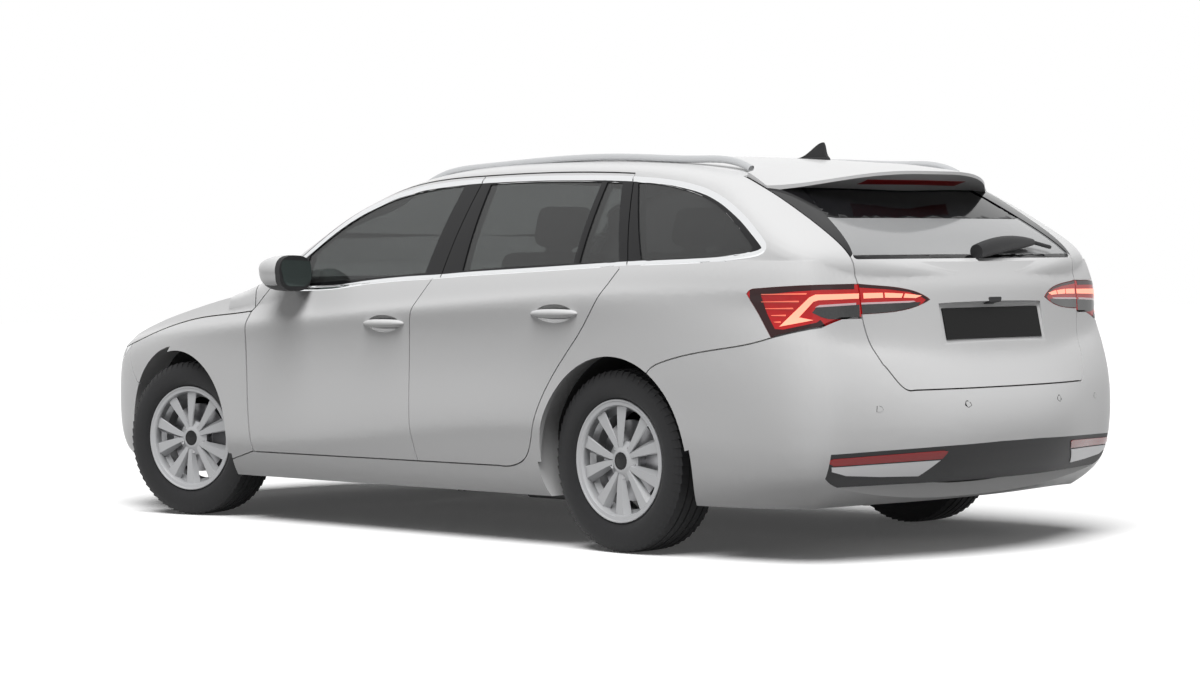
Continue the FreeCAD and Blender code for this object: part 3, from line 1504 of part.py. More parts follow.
keep_object("rear_axle", fused_item("rear_axle", axle_items()))
keep_object("fuel_tank", stood(
    padded_body("fuel_tank", rectangle(FRONT + " - 2343", FRONT + " - 2343 + tank_length",
                                       "150", "150 + tank_width"),
                "XY_Plane", "tank_depth", "edge_round"),
    "0", "0", "underside_height + 7 - tank_depth"))
SILENCER_X = "(%s - 470)" % REAR
silencer = rounded_item("silencer", box_item(
    "silencer_box", (SILENCER_X + " - silencer_length", SILENCER_X),
    ("-silencer_width / 2", "silencer_width / 2"),
    ("underside_height + 30", "underside_height + 30 + silencer_height")), 40)
pipe_run = rod_item("exhaust_pipe", "exhaust_radius", "%s - 313 - %s" % (FRONT, SILENCER_X),
                    (FRONT + " - 313", "60", "exhaust_height"), V(-1, 0, 0))
riser = rod_item("exhaust_riser", "exhaust_radius", "150",
                 (SILENCER_X, "60", "exhaust_height"), V(-100, 0, 100))
hangers = [box_item("exhaust_hanger_" + side, (SILENCER_X + " - 180", SILENCER_X + " - 140"),
                    (low, low + " + 40"), ("underside_height + 100", HANG_RULE))
           for side, low in (("left", "180"), ("right", "-220"))]
keep_object("exhaust", fused_item("exhaust", [silencer, pipe_run, riser] + hangers))

# Knuckles, discs, rims and tyres, drawn straight ahead at the left front wheel


def knuckle():
    """A steering knuckle: upright, hub carrier, spindle and brake caliper."""
    hub_y = FRONT_WHEEL_Y + dim.rim_offset
    upright = block(FRONT_AXLE - 24, FRONT_AXLE + 24, KINGPIN_Y - 20, KINGPIN_Y + 20,
                    BALL_LOW + 1, BALL_HIGH - 1)
    pins = Part.makeCylinder(12, 2 * (BALL_HIGH - AXLE_Z) + 7.4,
                             V(FRONT_AXLE, KINGPIN_Y, BALL_LOW - 3.7))
    carrier = across(FRONT_AXLE, KINGPIN_Y - 15, hub_y - 60, AXLE_Z, 62)
    arm = block(FRONT_AXLE - 130, FRONT_AXLE, KINGPIN_Y - 14, KINGPIN_Y + 10, AXLE_Z - 60,
                AXLE_Z - 30)
    return upright.fuse([pins, carrier, arm, spindle(FRONT_AXLE, hub_y),
                         caliper(FRONT_AXLE, hub_y)])


def caliper(x, hub_y):
    """A caliper astride the disc's rear edge, tied to the carrier."""
    low = hub_y - 66
    body = block(x - 172, x - 88, low, hub_y - 8, AXLE_Z - 62, AXLE_Z + 62)
    slot = across(x, hub_y - 52, hub_y - 18, AXLE_Z, dim.disc_radius + 6)
    round_cut = across(x, low - 5, hub_y + 50, AXLE_Z, 169)
    tie = block(x - 120, x, low, low + 14, AXLE_Z - 40, AXLE_Z + 40)
    return body.cut(slot).common(round_cut).fuse(tie)


def rim(x, wheel_y):
    """A cast rim: barrel with flanges, hub pad and twisted pairs of spokes."""
    half = dim.rim_width / 2
    bead = dim.bead_radius
    lip = bead + dim.rim_flange
    well = bead - 22
    wall = dim.barrel_wall
    outline_points = [
        (-half - 6, lip), (-half + 1, lip), (-half + 1, bead), (-half + 32, bead),
        (-half + 48, well), (half - 48, well), (half - 32, bead), (half - 1, bead),
        (half - 1, lip), (half + 7, lip), (half + 7, bead - 6), (half - 14, bead - 12),
        (half - 36, bead - wall - 5), (half - 52, well - wall), (-half + 48, well - wall),
        (-half + 32, bead - wall), (-half - 6, bead - wall)]
    edges = [V(r, y, 0) for y, r in outline_points]
    ring = Part.Face(Part.makePolygon(edges + [edges[0]]))
    barrel = ring.revolve(V(0, 0, 0), V(0, 1, 0), 360)
    pad = Part.makeCylinder(dim.hub_radius, 30, V(0, dim.rim_offset, 0), V(0, 1, 0))
    spokes = []
    for pair in range(int(dim.spoke_pairs)):
        turn = 360.0 * pair / dim.spoke_pairs + 18
        for side in (-1, 1):
            spoke = spoke_blade(side)
            spoke.rotate(V(0, 0, 0), V(0, 1, 0), turn)
            spokes.append(spoke)
    shape = barrel.fuse([pad] + spokes)
    shape = shape.cut(Part.makeCylinder(dim.hub_bore_radius, 30, V(0, dim.rim_offset - 1, 0),
                                        V(0, 1, 0)))
    cap_disc = Part.makeCylinder(dim.hub_bore_radius + 3, 8, V(0, dim.rim_offset + 29, 0),
                                 V(0, 1, 0))
    shape = shape.fuse(cap_disc)
    for bolt in range(5):
        turn = math.radians(72 * bolt + 54)
        seat_hole = Part.makeCylinder(10, 20, V(
            dim.bolt_circle_radius * math.cos(turn), dim.rim_offset + 17,
            dim.bolt_circle_radius * math.sin(turn)), V(0, 1, 0))
        shape = shape.cut(seat_hole)
    shape.translate(V(x, wheel_y, AXLE_Z))
    return shape


def spoke_blade(side):
    """One spoke, lofted from the hub pad out to the barrel."""
    sections = []
    half = dim.rim_width / 2
    reach = dim.bead_radius - 9
    for share, swing, face in ((0.0, 9, dim.rim_offset + 22), (0.35, 10, dim.rim_offset + 26),
                               (0.7, 13, half - 14), (1.0, 16, half - 8)):
        radius = dim.hub_radius - 14 + share * (reach - dim.hub_radius + 14)
        wide = dim.spoke_width * (1 - 0.25 * share)
        middle = side * radius * math.tan(math.radians(swing))
        y0 = max(face - dim.spoke_depth * (1 - 0.35 * share), dim.rim_offset + 0.5)
        sections.append(Part.makePolygon([
            V(middle - wide / 2, y0, radius), V(middle + wide / 2, y0, radius),
            V(middle + wide / 3, face, radius), V(middle - wide / 3, face, radius),
            V(middle - wide / 2, y0, radius)]))
    return Part.makeLoft(sections, True, True)


front_set = {"knuckle": knuckle(), "rim_front": rim(FRONT_AXLE, FRONT_WHEEL_Y)}
for name, shape in front_set.items():
    for side, part in (("left", shape), ("right", mirrored(shape))):
        part = part.copy()
        pivot = V(FRONT_AXLE, KINGPIN_Y if side == "left" else -KINGPIN_Y, 0)
        part.rotate(pivot, V(0, 0, 1), dim.parked_steer)
        keep("%s_%s" % (name, side), part)
rear_rim = rim(REAR_AXLE, REAR_WHEEL_Y)
keep("rim_rear_left", rear_rim)
keep("rim_rear_right", mirrored(rear_rim))
for corner in CORNERS:
    keep_object("tyre_" + corner, on_corner(turned_body("tyre_" + corner, tyre_spans()), corner))
    keep_object("brake_disc_" + corner,
                on_corner(turned_body("brake_disc_" + corner, disc_spans()), corner))

# Plate and wiper on the gate

plate = padded_body("number_plate_rear",
                    rectangle("-plate_height / 2", "plate_height / 2", "-plate_width / 2",
                              "plate_width / 2"), "XY_Plane", "plate_thickness", "2")
PLATE_TURN = FreeCAD.Rotation(V(0, 1, 0), dim.plate_tilt - 90)
TRAY_FLOOR = V(PLATE_FACE_X, 0, PLATE_Z) + FreeCAD.Rotation(
    V(0, 1, 0), dim.plate_tilt).multVec(V(TRAY_DEPTH, 0, 0))
plate.Placement = FreeCAD.Placement(TRAY_FLOOR, PLATE_TURN)
keep_object("number_plate_rear", plate)

WIPER_LINE = [(-2158, 20, 1046), (-2140, -120, 1068), (-2118, -260, 1078), (-2104, -360, 1080),
              (-2112, -450, 1062)]


def wiper():
    """The rear wiper at rest: a pivot housing, an arm and a blade on the glass."""
    places = [V(along(x) - 16, aside(y), above(z)) for x, y, z in WIPER_LINE]
    housing = Part.makeLoft([
        Part.Wire(Part.makeCircle(radius, place, V(0.1, -1, 0.1)))
        for place, radius in zip(places[:4], (26, 30, 24, 12))], True, False)
    arm = bar(places[3], places[4], 7)
    tip = Part.makeSphere(7, places[4])
    return housing.fuse([arm, tip]).cut(glass_outer).cut(pieces["tailgate"])


keep("rear_wiper", wiper())

# Objects of the document, checked and written out

for name, shape in pieces.items():
    item = doc.addObject("Part::Feature", name)
    item.Label = name
    item.Shape = shape
    objects[name] = item
doc.recompute()

for item in doc.Objects:
    if "Invalid" in item.State or "Error" in item.State:
        raise ValueError("%s failed: %s" % (item.Name, item.State))
faults = []
for name, item in objects.items():
    shape = item.Shape
    if shape.isNull() or not shape.isValid() or shape.Volume < 1:
        faults.append(name)
        continue
    shape.exportStep("parts/%s.step" % name)
    print("%-22s %3d solid(s) %10.1f cm3" % (name, len(shape.Solids), shape.Volume / 1000))
if faults:
    raise ValueError("no valid shape: %s" % ", ".join(faults))
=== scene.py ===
"""A five-door station wagon, parked with its front wheels turned, on a pale studio floor."""

import json
import logging
import math
from dataclasses import dataclass
from enum import Enum

import bmesh
import bpy
from mathutils import Matrix, Vector
from mathutils.bvhtree import BVHTree


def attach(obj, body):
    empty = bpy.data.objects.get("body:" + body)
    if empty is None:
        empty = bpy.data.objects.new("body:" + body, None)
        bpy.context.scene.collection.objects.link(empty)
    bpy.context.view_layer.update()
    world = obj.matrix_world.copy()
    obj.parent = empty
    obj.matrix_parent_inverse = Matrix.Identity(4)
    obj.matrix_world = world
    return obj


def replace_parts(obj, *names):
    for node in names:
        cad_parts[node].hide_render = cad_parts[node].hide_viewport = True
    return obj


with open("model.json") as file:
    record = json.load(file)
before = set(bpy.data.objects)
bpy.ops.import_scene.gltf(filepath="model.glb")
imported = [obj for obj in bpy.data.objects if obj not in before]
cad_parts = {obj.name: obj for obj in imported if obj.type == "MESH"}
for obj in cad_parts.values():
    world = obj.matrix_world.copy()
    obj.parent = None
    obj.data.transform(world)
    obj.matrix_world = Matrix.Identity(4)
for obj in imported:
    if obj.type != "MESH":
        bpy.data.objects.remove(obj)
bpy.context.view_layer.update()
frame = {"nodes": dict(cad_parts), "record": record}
LOG = logging.getLogger("wagon")

MM = 0.001
WELD = 0.00002
SLIVER = 0.0001
NARROW = 0.0008
LONG = 3.0
Spot = tuple[float, float]


class Hand(Enum):
    """The two sides of the car and their signs along Y."""

    LEFT = 1
    RIGHT = -1

    @property
    def word(self) -> str:
        """The side's name as the nodes carry it."""
        return self.name.lower()


class Aim(Enum):
    """Where a drawing on the skin is looked at from: the heading of the look in degrees."""

    SIDE = -90.0
    CORNER = -45.0
    REAR = 0.0
    FRONT = 180.0

    @property
    def look(self) -> Vector:
        """The direction of the look."""
        turn = math.radians(self.value)
        return Vector((math.cos(turn), math.sin(turn), 0.0))

    @property
    def across(self) -> Vector:
        """The drawing's level axis."""
        turn = math.radians(self.value)
        return Vector((-math.sin(turn), math.cos(turn), 0.0))

    def place(self, spot: Spot) -> Vector:
        """A point of the drawing, in millimetres, as a place in metres.

        Args:
            spot: The point's level and upright measures.

        Returns:
            The place, at depth nought.
        """
        return self.across * spot[0] * MM + Vector((0.0, 0.0, spot[1] * MM))

    def spot(self, place: Vector) -> Spot:
        """The point of the drawing that a place falls on."""
        return place.dot(self.across) / MM, place.z / MM


# Finishes


@dataclass(frozen=True)
class Finish:
    """A surface: its colour, how it takes the light, and its fine grain and mottle."""

    name: str
    color: tuple[float, float, float]
    metallic: float = 0.0
    roughness: float = 0.5
    coat: float = 0.0
    coat_ior: float = 1.5
    specular: float = 0.5
    transmission: float = 0.0
    ior: float = 1.45
    grain: float = 0.0
    grain_scale: float = 600.0
    mottle: float = 0.04
    mottle_scale: float = 900.0
    glow: float = 0.0

    def material(self) -> bpy.types.Material:
        """Build the material once and hand the same one out after that.

        Returns:
            The material.
        """
        known = bpy.data.materials.get(self.name)
        if known:
            return known
        made = bpy.data.materials.new(self.name)
        made.use_nodes = True
        shader = made.node_tree.nodes["Principled BSDF"]
        shader.inputs["Base Color"].default_value = (*self.color, 1.0)
        shader.inputs["Metallic"].default_value = self.metallic
        shader.inputs["Roughness"].default_value = self.roughness
        shader.inputs["Coat Weight"].default_value = self.coat
        shader.inputs["Coat Roughness"].default_value = 0.03
        shader.inputs["Coat IOR"].default_value = self.coat_ior
        shader.inputs["Specular IOR Level"].default_value = self.specular
        shader.inputs["Transmission Weight"].default_value = self.transmission
        shader.inputs["IOR"].default_value = self.ior
        if self.glow:
            shader.inputs["Emission Color"].default_value = (*self.color, 1.0)
            shader.inputs["Emission Strength"].default_value = self.glow
        if self.mottle:
            self.add_mottle(made, shader)
        if self.grain:
            self.add_grain(made, shader)
        return made

    def noise(self, made: bpy.types.Material, scale: float) -> bpy.types.Node:
        """A noise pattern fixed to the piece.

        Args:
            made: The material.
            scale: How fine it is, in waves a metre.

        Returns:
            The noise node.
        """
        place = made.node_tree.nodes.new("ShaderNodeTexCoord")
        noise = made.node_tree.nodes.new("ShaderNodeTexNoise")
        noise.inputs["Scale"].default_value = scale
        made.node_tree.links.new(place.outputs["Object"], noise.inputs["Vector"])
        return noise

    def add_mottle(self, made: bpy.types.Material, shader: bpy.types.Node) -> None:
        """Let the colour vary a little, as flake, pigment or dust does.

        Args:
            made: The material.
            shader: Its shader node.
        """
        mix = made.node_tree.nodes.new("ShaderNodeMix")
        mix.data_type = "RGBA"
        low = tuple(part * (1.0 - self.mottle) for part in self.color)
        high = tuple(min(1.0, part * (1.0 + self.mottle)) for part in self.color)
        mix.inputs["A"].default_value = (*low, 1.0)
        mix.inputs["B"].default_value = (*high, 1.0)
        noise = self.noise(made, self.mottle_scale)
        made.node_tree.links.new(noise.outputs["Fac"], mix.inputs["Factor"])
        made.node_tree.links.new(mix.outputs["Result"], shader.inputs["Base Color"])

    def add_grain(self, made: bpy.types.Material, shader: bpy.types.Node) -> None:
        """Give the surface a fine cast, woven or moulded grain.

        Args:
            made: The material.
            shader: Its shader node.
        """
        bump = made.node_tree.nodes.new("ShaderNodeBump")
        bump.inputs["Strength"].default_value = self.grain
        bump.inputs["Distance"].default_value = 0.0004
        noise = self.noise(made, self.grain_scale)
        made.node_tree.links.new(noise.outputs["Fac"], bump.inputs["Height"])
        made.node_tree.links.new(bump.outputs["Normal"], shader.inputs["Normal"])


PAINT = Finish("silver body paint", (0.64, 0.64, 0.642), metallic=0.05, roughness=0.38, coat=0.15,
               specular=0.4, mottle=0.05, mottle_scale=2600.0)
CHROME = Finish("polished trim", (0.84, 0.85, 0.86), metallic=1.0, roughness=0.12, mottle=0.0)
SIDE_GLASS = Finish("grey side glass", (0.13, 0.135, 0.135), roughness=0.02, transmission=0.85,
                    specular=0.7, mottle=0.0)
# Rear glass: its light grey is painted reflection, a mostly diffuse grey where the glass would
# mirror the white room.
REAR_GLASS_PAINTED_REFLECTION = Finish("grey rear glass", (0.40, 0.405, 0.41), roughness=0.12, transmission=0.25,
                    specular=0.4, coat=0.4, mottle=0.0)
CLEAR_GLASS = Finish("windscreen glass", (0.55, 0.60, 0.58), roughness=0.01, transmission=1.0,
                     mottle=0.0)
GLOSS_BLACK = Finish("gloss black", (0.006, 0.006, 0.007), roughness=0.12, coat=0.1,
                     specular=0.3)
TRIM_BLACK = Finish("grained black", (0.020, 0.020, 0.021), roughness=0.62, grain=0.5,
                    mottle=0.2)
DEEP_BLACK = Finish("well black", (0.010, 0.010, 0.010), roughness=0.9, mottle=0.2)
SEAL = Finish("seal rubber", (0.012, 0.012, 0.012), roughness=0.75, mottle=0.15)
TYRE_RUBBER = Finish("tyre rubber", (0.018, 0.018, 0.019), roughness=0.70, grain=0.35,
                     grain_scale=260.0, mottle=0.15, mottle_scale=60.0)
ALLOY = Finish("wheel lacquer", (0.50, 0.505, 0.515), metallic=0.30, roughness=0.32, coat=0.2)
RAIL_ALLOY = Finish("satin rail", (0.60, 0.61, 0.62), metallic=0.6, roughness=0.32)
DISC_STEEL = Finish("turned disc", (0.36, 0.36, 0.37), metallic=1.0, roughness=0.38,
                    mottle=0.12, mottle_scale=120.0)
BOLT_STEEL = Finish("wheel bolt", (0.50, 0.50, 0.51), metallic=1.0, roughness=0.32)
CAST_METAL = Finish("cast metal", (0.10, 0.10, 0.105), metallic=0.6, roughness=0.6, grain=0.6,
                    mottle=0.2, mottle_scale=90.0)
EXHAUST_STEEL = Finish("exhaust steel", (0.30, 0.29, 0.28), metallic=0.9, roughness=0.45,
                       mottle=0.2, mottle_scale=25.0)
CLOTH = Finish("seat cloth", (0.035, 0.036, 0.040), roughness=0.95, grain=0.8,
               grain_scale=1500.0, mottle=0.3, mottle_scale=1200.0)
UNDERBODY = Finish("underbody coat", (0.03, 0.03, 0.03), roughness=0.85, grain=0.4,
                   grain_scale=300.0, mottle=0.2, mottle_scale=15.0)
LAMP_CLEAR = Finish("clear lens", (0.70, 0.72, 0.73), roughness=0.05, coat=1.0, metallic=0.2)
LAMP_RED = Finish("red lens", (0.52, 0.006, 0.008), roughness=0.15, coat=0.3, specular=0.3,
                  mottle=0.12, mottle_scale=60.0, glow=0.10)
LAMP_DARK = Finish("dark red lens", (0.030, 0.003, 0.004), roughness=0.12, coat=0.25,
                   specular=0.3)
LAMP_STREAK = Finish("lit streak", (1.0, 0.22, 0.14), roughness=0.3, glow=0.35)
LAMP_LIT = Finish("lit strip", (1.0, 0.36, 0.24), roughness=0.3, glow=0.85)
LAMP_CRYSTAL = Finish("crystal strip", (0.75, 0.52, 0.55), roughness=0.15, coat=1.0)
LAMP_SMOKE = Finish("smoked lens", (0.022, 0.023, 0.024), roughness=0.12, coat=0.3, mottle=0.6,
                    mottle_scale=160.0)
BRAKE_RED = Finish("brake strip", (0.30, 0.008, 0.010), roughness=0.3, coat=0.2)
REFLECTOR = Finish("red reflector", (0.38, 0.004, 0.006), roughness=0.2, coat=0.2, mottle=0.12,
                   mottle_scale=500.0)
PLATE = Finish("blank plate", (0.004, 0.004, 0.004), roughness=0.45, specular=0.2)
SILVER_INSERT = Finish("silver insert", (0.60, 0.60, 0.61), metallic=0.3, roughness=0.35)
MIRROR_GLASS = Finish("mirror glass", (0.10, 0.125, 0.12), metallic=0.5, roughness=0.15)


# Shapes


def shown(name: str, mesh: bpy.types.Mesh, finish: Finish, body: str,
          crease: float = 35.0) -> bpy.types.Object:
    """Put a finished mesh in the scene, riding on one of the car's bodies.

    Args:
        name: The piece's name.
        mesh: The mesh, in place.
        finish: Its finish.
        body: The body that carries it.
        crease: Angle in degrees past which an edge stays sharp.

    Returns:
        The object.
    """
    mesh.name = name
    mesh.shade_smooth()
    mark_sharp(mesh, math.radians(crease))
    mesh.materials.clear()
    mesh.materials.append(finish.material())
    piece = bpy.data.objects.new(name, mesh)
    bpy.context.scene.collection.objects.link(piece)
    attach(piece, body)
    return piece


def settled_normals(form: bmesh.types.BMesh) -> list[Vector]:
    """Face normals in which a sliver takes its wider neighbour's, since its own is uncertain.

    Args:
        form: The mesh.

    Returns:
        One normal for each face, by index.
    """
    form.faces.index_update()
    normals = [face.normal.copy() for face in form.faces]
    slivers = []
    for face in form.faces:
        longest = max(face.edges, key=lambda edge: edge.calc_length())
        width = 2.0 * face.calc_area() / max(longest.calc_length(), WELD)
        if width < NARROW:
            slivers.append((width, face.index, longest))
    for _, index, longest in sorted(slivers, key=lambda row: (-row[0], row[1])):
        beside = [face.index for face in longest.link_faces if face.index != index]
        if beside:
            normals[index] = normals[beside[0]]
    return normals


def mark_sharp(mesh: bpy.types.Mesh, crease: float) -> None:
    """Keep the edges sharp that turn by more than an angle.

    Args:
        mesh: The mesh.
        crease: The angle, in radians.
    """
    form = bmesh.new()
    form.from_mesh(mesh)
    form.normal_update()
    normals = settled_normals(form)
    for edge in form.edges:
        if len(edge.link_faces) == 2:
            first, second = (normals[face.index] for face in edge.link_faces)
            edge.smooth = first.angle(second, 0.0) <= crease
    form.to_mesh(mesh)
    form.free()


def even_shading(piece: bpy.types.Object) -> None:
    """Let large faces settle the shading, so that narrow ones beside an edge don't stain it."""
    weighting = piece.modifiers.new("even shading", "WEIGHTED_NORMAL")
    weighting.mode = "FACE_AREA"
    weighting.weight = 80
    weighting.keep_sharp = True


def taken(form: bmesh.types.BMesh) -> bpy.types.Mesh:
    """Turn a bmesh into a mesh and let the bmesh go.

    Args:
        form: The bmesh.

    Returns:
        The mesh.
    """
    mesh = bpy.data.meshes.new("form")
    form.to_mesh(mesh)
    form.free()
    return mesh


def welded(node: str) -> bmesh.types.BMesh:
    """A copy of a CAD node's mesh with its loose triangles joined.

    Args:
        node: The node's name.

    Returns:
        The joined copy.
    """
    form = bmesh.new()
    form.from_mesh(frame["nodes"][node].data)
    bmesh.ops.remove_doubles(form, verts=form.verts, dist=WELD)
    bmesh.ops.dissolve_degenerate(form, dist=SLIVER, edges=form.edges)
    return form


def mirrored(form: bmesh.types.BMesh) -> bmesh.types.BMesh:
    """Turn a left-hand form into the right-hand one.

    Args:
        form: The form, which is changed.

    Returns:
        The same form.
    """
    bmesh.ops.scale(form, vec=(1.0, -1.0, 1.0), verts=form.verts)
    bmesh.ops.reverse_faces(form, faces=form.faces)
    return form


def handed(form: bmesh.types.BMesh, hand: Hand) -> bmesh.types.BMesh:
    """The left-hand form, or its mirror image for the right-hand side."""
    return mirrored(form) if hand is Hand.RIGHT else form


def body_of(node: str) -> str:
    """Name of the body that holds a CAD node."""
    return next(name for name, nodes in frame["record"]["behaviour"]["bodies"].items()
                if node in nodes)


def dressed(node: str, finish: Finish, crease: float = 28.0) -> bpy.types.Object:
    """Show a CAD node's own form with smooth shading and a finish.

    Args:
        node: The node's name.
        finish: Its finish.
        crease: Angle in degrees past which an edge stays sharp.

    Returns:
        The object that stands for the node.
    """
    name = node + "_form"
    piece = shown(name, taken(welded(node)), finish, body_of(node), crease)
    even_shading(piece)
    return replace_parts(piece, node)


def skin_tree(nodes: tuple[str, ...]) -> BVHTree:
    """A search tree of several CAD nodes' faces.

    Args:
        nodes: The nodes' names.

    Returns:
        The tree.
    """
    form = bmesh.new()
    for node in nodes:
        form.from_mesh(frame["nodes"][node].data)
    tree = BVHTree.FromBMesh(form)
    form.free()
    return tree


def within(spot: Spot, outline: list[Spot]) -> bool:
    """Whether a point of a drawing lies inside an outline."""
    u, v = spot
    inside = False
    for (u0, v0), (u1, v1) in zip(outline, outline[1:] + outline[:1]):
        if (v0 > v) != (v1 > v) and u < u0 + (v - v0) / (v1 - v0) * (u1 - u0):
            inside = not inside
    return inside


def disc_outline(middle: Spot, radius: float, sides: int = 20) -> list[Spot]:
    """A round outline.

    Args:
        middle: Its centre in the drawing.
        radius: Its radius.
        sides: How many straight sides draw it.

    Returns:
        The outline.
    """
    turns = [2 * math.pi * step / sides for step in range(sides)]
    return [(middle[0] + radius * math.cos(turn), middle[1] + radius * math.sin(turn))
            for turn in turns]


def rounded(outline: list[Spot], radius: float, steps: int = 4) -> list[Spot]:
    """An outline with its corners cut round.

    Args:
        outline: The outline with sharp corners.
        radius: How far from each corner the round starts.
        steps: How many straight sides make a round.

    Returns:
        The rounded outline.
    """
    soft = []
    count = len(outline)
    for k in range(count):
        corner = Vector(outline[k])
        before = Vector(outline[k - 1]) - corner
        after = Vector(outline[(k + 1) % count]) - corner
        start = corner + before.normalized() * min(radius, before.length / 2)
        end = corner + after.normalized() * min(radius, after.length / 2)
        for step in range(steps + 1):
            share = step / steps
            point = ((1 - share) ** 2 * start + 2 * share * (1 - share) * corner
                     + share ** 2 * end)
            soft.append((point.x, point.y))
    return soft


def clipped(form: bmesh.types.BMesh, aim: Aim, outline: list[Spot]) -> None:
    """Cut a mesh along the lines of a drawn outline and drop what lies outside.

    Args:
        form: The mesh, which is changed.
        aim: Where the drawing is looked at from.
        outline: The outline.
    """
    for start, end in zip(outline, outline[1:] + outline[:1]):
        run = aim.place(end) - aim.place(start)
        if run.length < WELD:
            continue
        geometry = form.verts[:] + form.edges[:] + form.faces[:]
        bmesh.ops.bisect_plane(form, geom=geometry, plane_co=aim.place(start),
                               plane_no=run.cross(aim.look), dist=WELD)
    outside = [face for face in form.faces
               if not within(aim.spot(face.calc_center_median()), outline)]
    bmesh.ops.delete(form, geom=outside, context="FACES")


def near_outline(form: bmesh.types.BMesh, aim: Aim, outline: list[Spot],
                 tree: BVHTree | None) -> None:
    """Drop the faces that an outline can't reach, and the hidden ones where a tree is given.

    Args:
        form: The mesh, which is changed.
        aim: Where the drawing is looked at from.
        outline: The outline.
        tree: The faces that hide each other, or None to keep the hidden ones too.
    """
    low_u = min(u for u, _ in outline)
    high_u = max(u for u, _ in outline)
    low_v = min(v for _, v in outline)
    high_v = max(v for _, v in outline)
    lost = []
    for face in form.faces:
        spots = [aim.spot(vert.co) for vert in face.verts]
        if (max(u for u, _ in spots) < low_u or min(u for u, _ in spots) > high_u
                or max(v for _, v in spots) < low_v or min(v for _, v in spots) > high_v):
            lost.append(face)
        elif tree and (face.normal.dot(aim.look) > -0.02
                       or hidden(face.calc_center_median(), aim, tree)):
            lost.append(face)
    bmesh.ops.delete(form, geom=lost, context="FACES")


def hidden(place: Vector, aim: Aim, tree: BVHTree) -> bool:
    """Whether something lies in front of a place, seen from where a drawing is looked at."""
    distance = tree.ray_cast(place - aim.look * LONG, aim.look)[3]
    return distance is not None and distance < LONG - 0.003


def patch(nodes: tuple[str, ...], aim: Aim, outline: list[Spot], lift: float,
          deep: bool = False) -> bmesh.types.BMesh:
    """A thin cover that lies on the skin of the left-hand side inside an outline.

    Args:
        nodes: The CAD nodes that it lies on.
        aim: Where the outline is looked at from.
        outline: The outline, in millimetres.
        lift: How far it stands off the skin, in millimetres.
        deep: Whether the edges and inner walls in the outline are covered too.

    Returns:
        The cover, as a thin closed sheet.
    """
    form = bmesh.new()
    for node in nodes:
        form.from_mesh(frame["nodes"][node].data)
    bmesh.ops.remove_doubles(form, verts=form.verts, dist=WELD)
    tree = None if deep else BVHTree.FromBMesh(form)
    near_outline(form, aim, outline, tree)
    clipped(form, aim, outline)
    other_side = [face for face in form.faces
                  if aim in (Aim.SIDE, Aim.CORNER) and face.calc_center_median().y < 0.0]
    bmesh.ops.delete(form, geom=other_side, context="FACES")
    form.normal_update()
    moves = [sum((face.normal * face.calc_area() for face in vert.link_faces),
                 Vector()).normalized() * lift * MM for vert in form.verts]
    for vert, move in zip(form.verts, moves):
        vert.co += move
    if not deep:
        bmesh.ops.solidify(form, geom=form.faces[:], thickness=0.8 * lift * MM)
    return form


@dataclass(frozen=True)
class Line:
    """A smooth line through a few points of a drawing."""

    points: tuple[Spot, ...]
    closed: bool = False

    def spans(self) -> list[tuple[Vector, Vector, Vector, Vector]]:
        """Each run of the line with the points before and after it."""
        spots = [Vector(point) for point in self.points]
        if self.closed:
            ring = len(spots)
            return [tuple(spots[(k + step) % ring] for step in (-1, 0, 1, 2))
                    for k in range(ring)]
        ends = [2 * spots[0] - spots[1]] + spots + [2 * spots[-1] - spots[-2]]
        return [tuple(ends[k:k + 4]) for k in range(len(ends) - 3)]

    def dense(self) -> list[Vector]:
        """Many points along the line, close together."""
        fine = []
        for before, start, end, after in self.spans():
            for step in range(16):
                t = step / 16
                fine.append(0.5 * (2 * start + (end - before) * t
                                   + (2 * before - 5 * start + 4 * end - after) * t ** 2
                                   + (3 * start - before - 3 * end + after) * t ** 3))
        fine.append(Vector(self.points[0] if self.closed else self.points[-1]))
        return fine

    def runs(self, count: int) -> list[tuple[Vector, Vector]]:
        """Points at even steps, each with the direction to the line's left.

        Args:
            count: How many steps.

        Returns:
            Pairs of a point and the unit direction across the line.
        """
        fine = self.dense()
        lengths = [0.0]
        for here, there in zip(fine, fine[1:]):
            lengths.append(lengths[-1] + (there - here).length)
        stations = []
        k = 0
        for step in range(count + 1):
            goal = min(lengths[-1] * step / count, lengths[-1] - 1e-6)
            while lengths[k + 1] < goal:
                k += 1
            share = (goal - lengths[k]) / (lengths[k + 1] - lengths[k])
            run = (fine[k + 1] - fine[k]).normalized()
            stations.append((fine[k].lerp(fine[k + 1], share), Vector((-run.y, run.x))))
        return stations


@dataclass(frozen=True)
class Section:
    """The cross-section of a strip: shares of its width with its height over the skin."""

    shares: tuple[float, ...]
    heights: tuple[float, ...]

    def height(self, share: float) -> float:
        """Height over the skin at a share of the width."""
        for k in range(len(self.shares) - 1):
            if share <= self.shares[k + 1] + 1e-9:
                part = (share - self.shares[k]) / (self.shares[k + 1] - self.shares[k])
                return self.heights[k] + part * (self.heights[k + 1] - self.heights[k])
        return self.heights[-1]


ROUND_STRIP = Section((0.0, 0.1, 0.3, 0.5, 0.7, 0.9, 1.0), (-1.0, 1.4, 2.6, 3.0, 2.6, 1.4, -1.0))


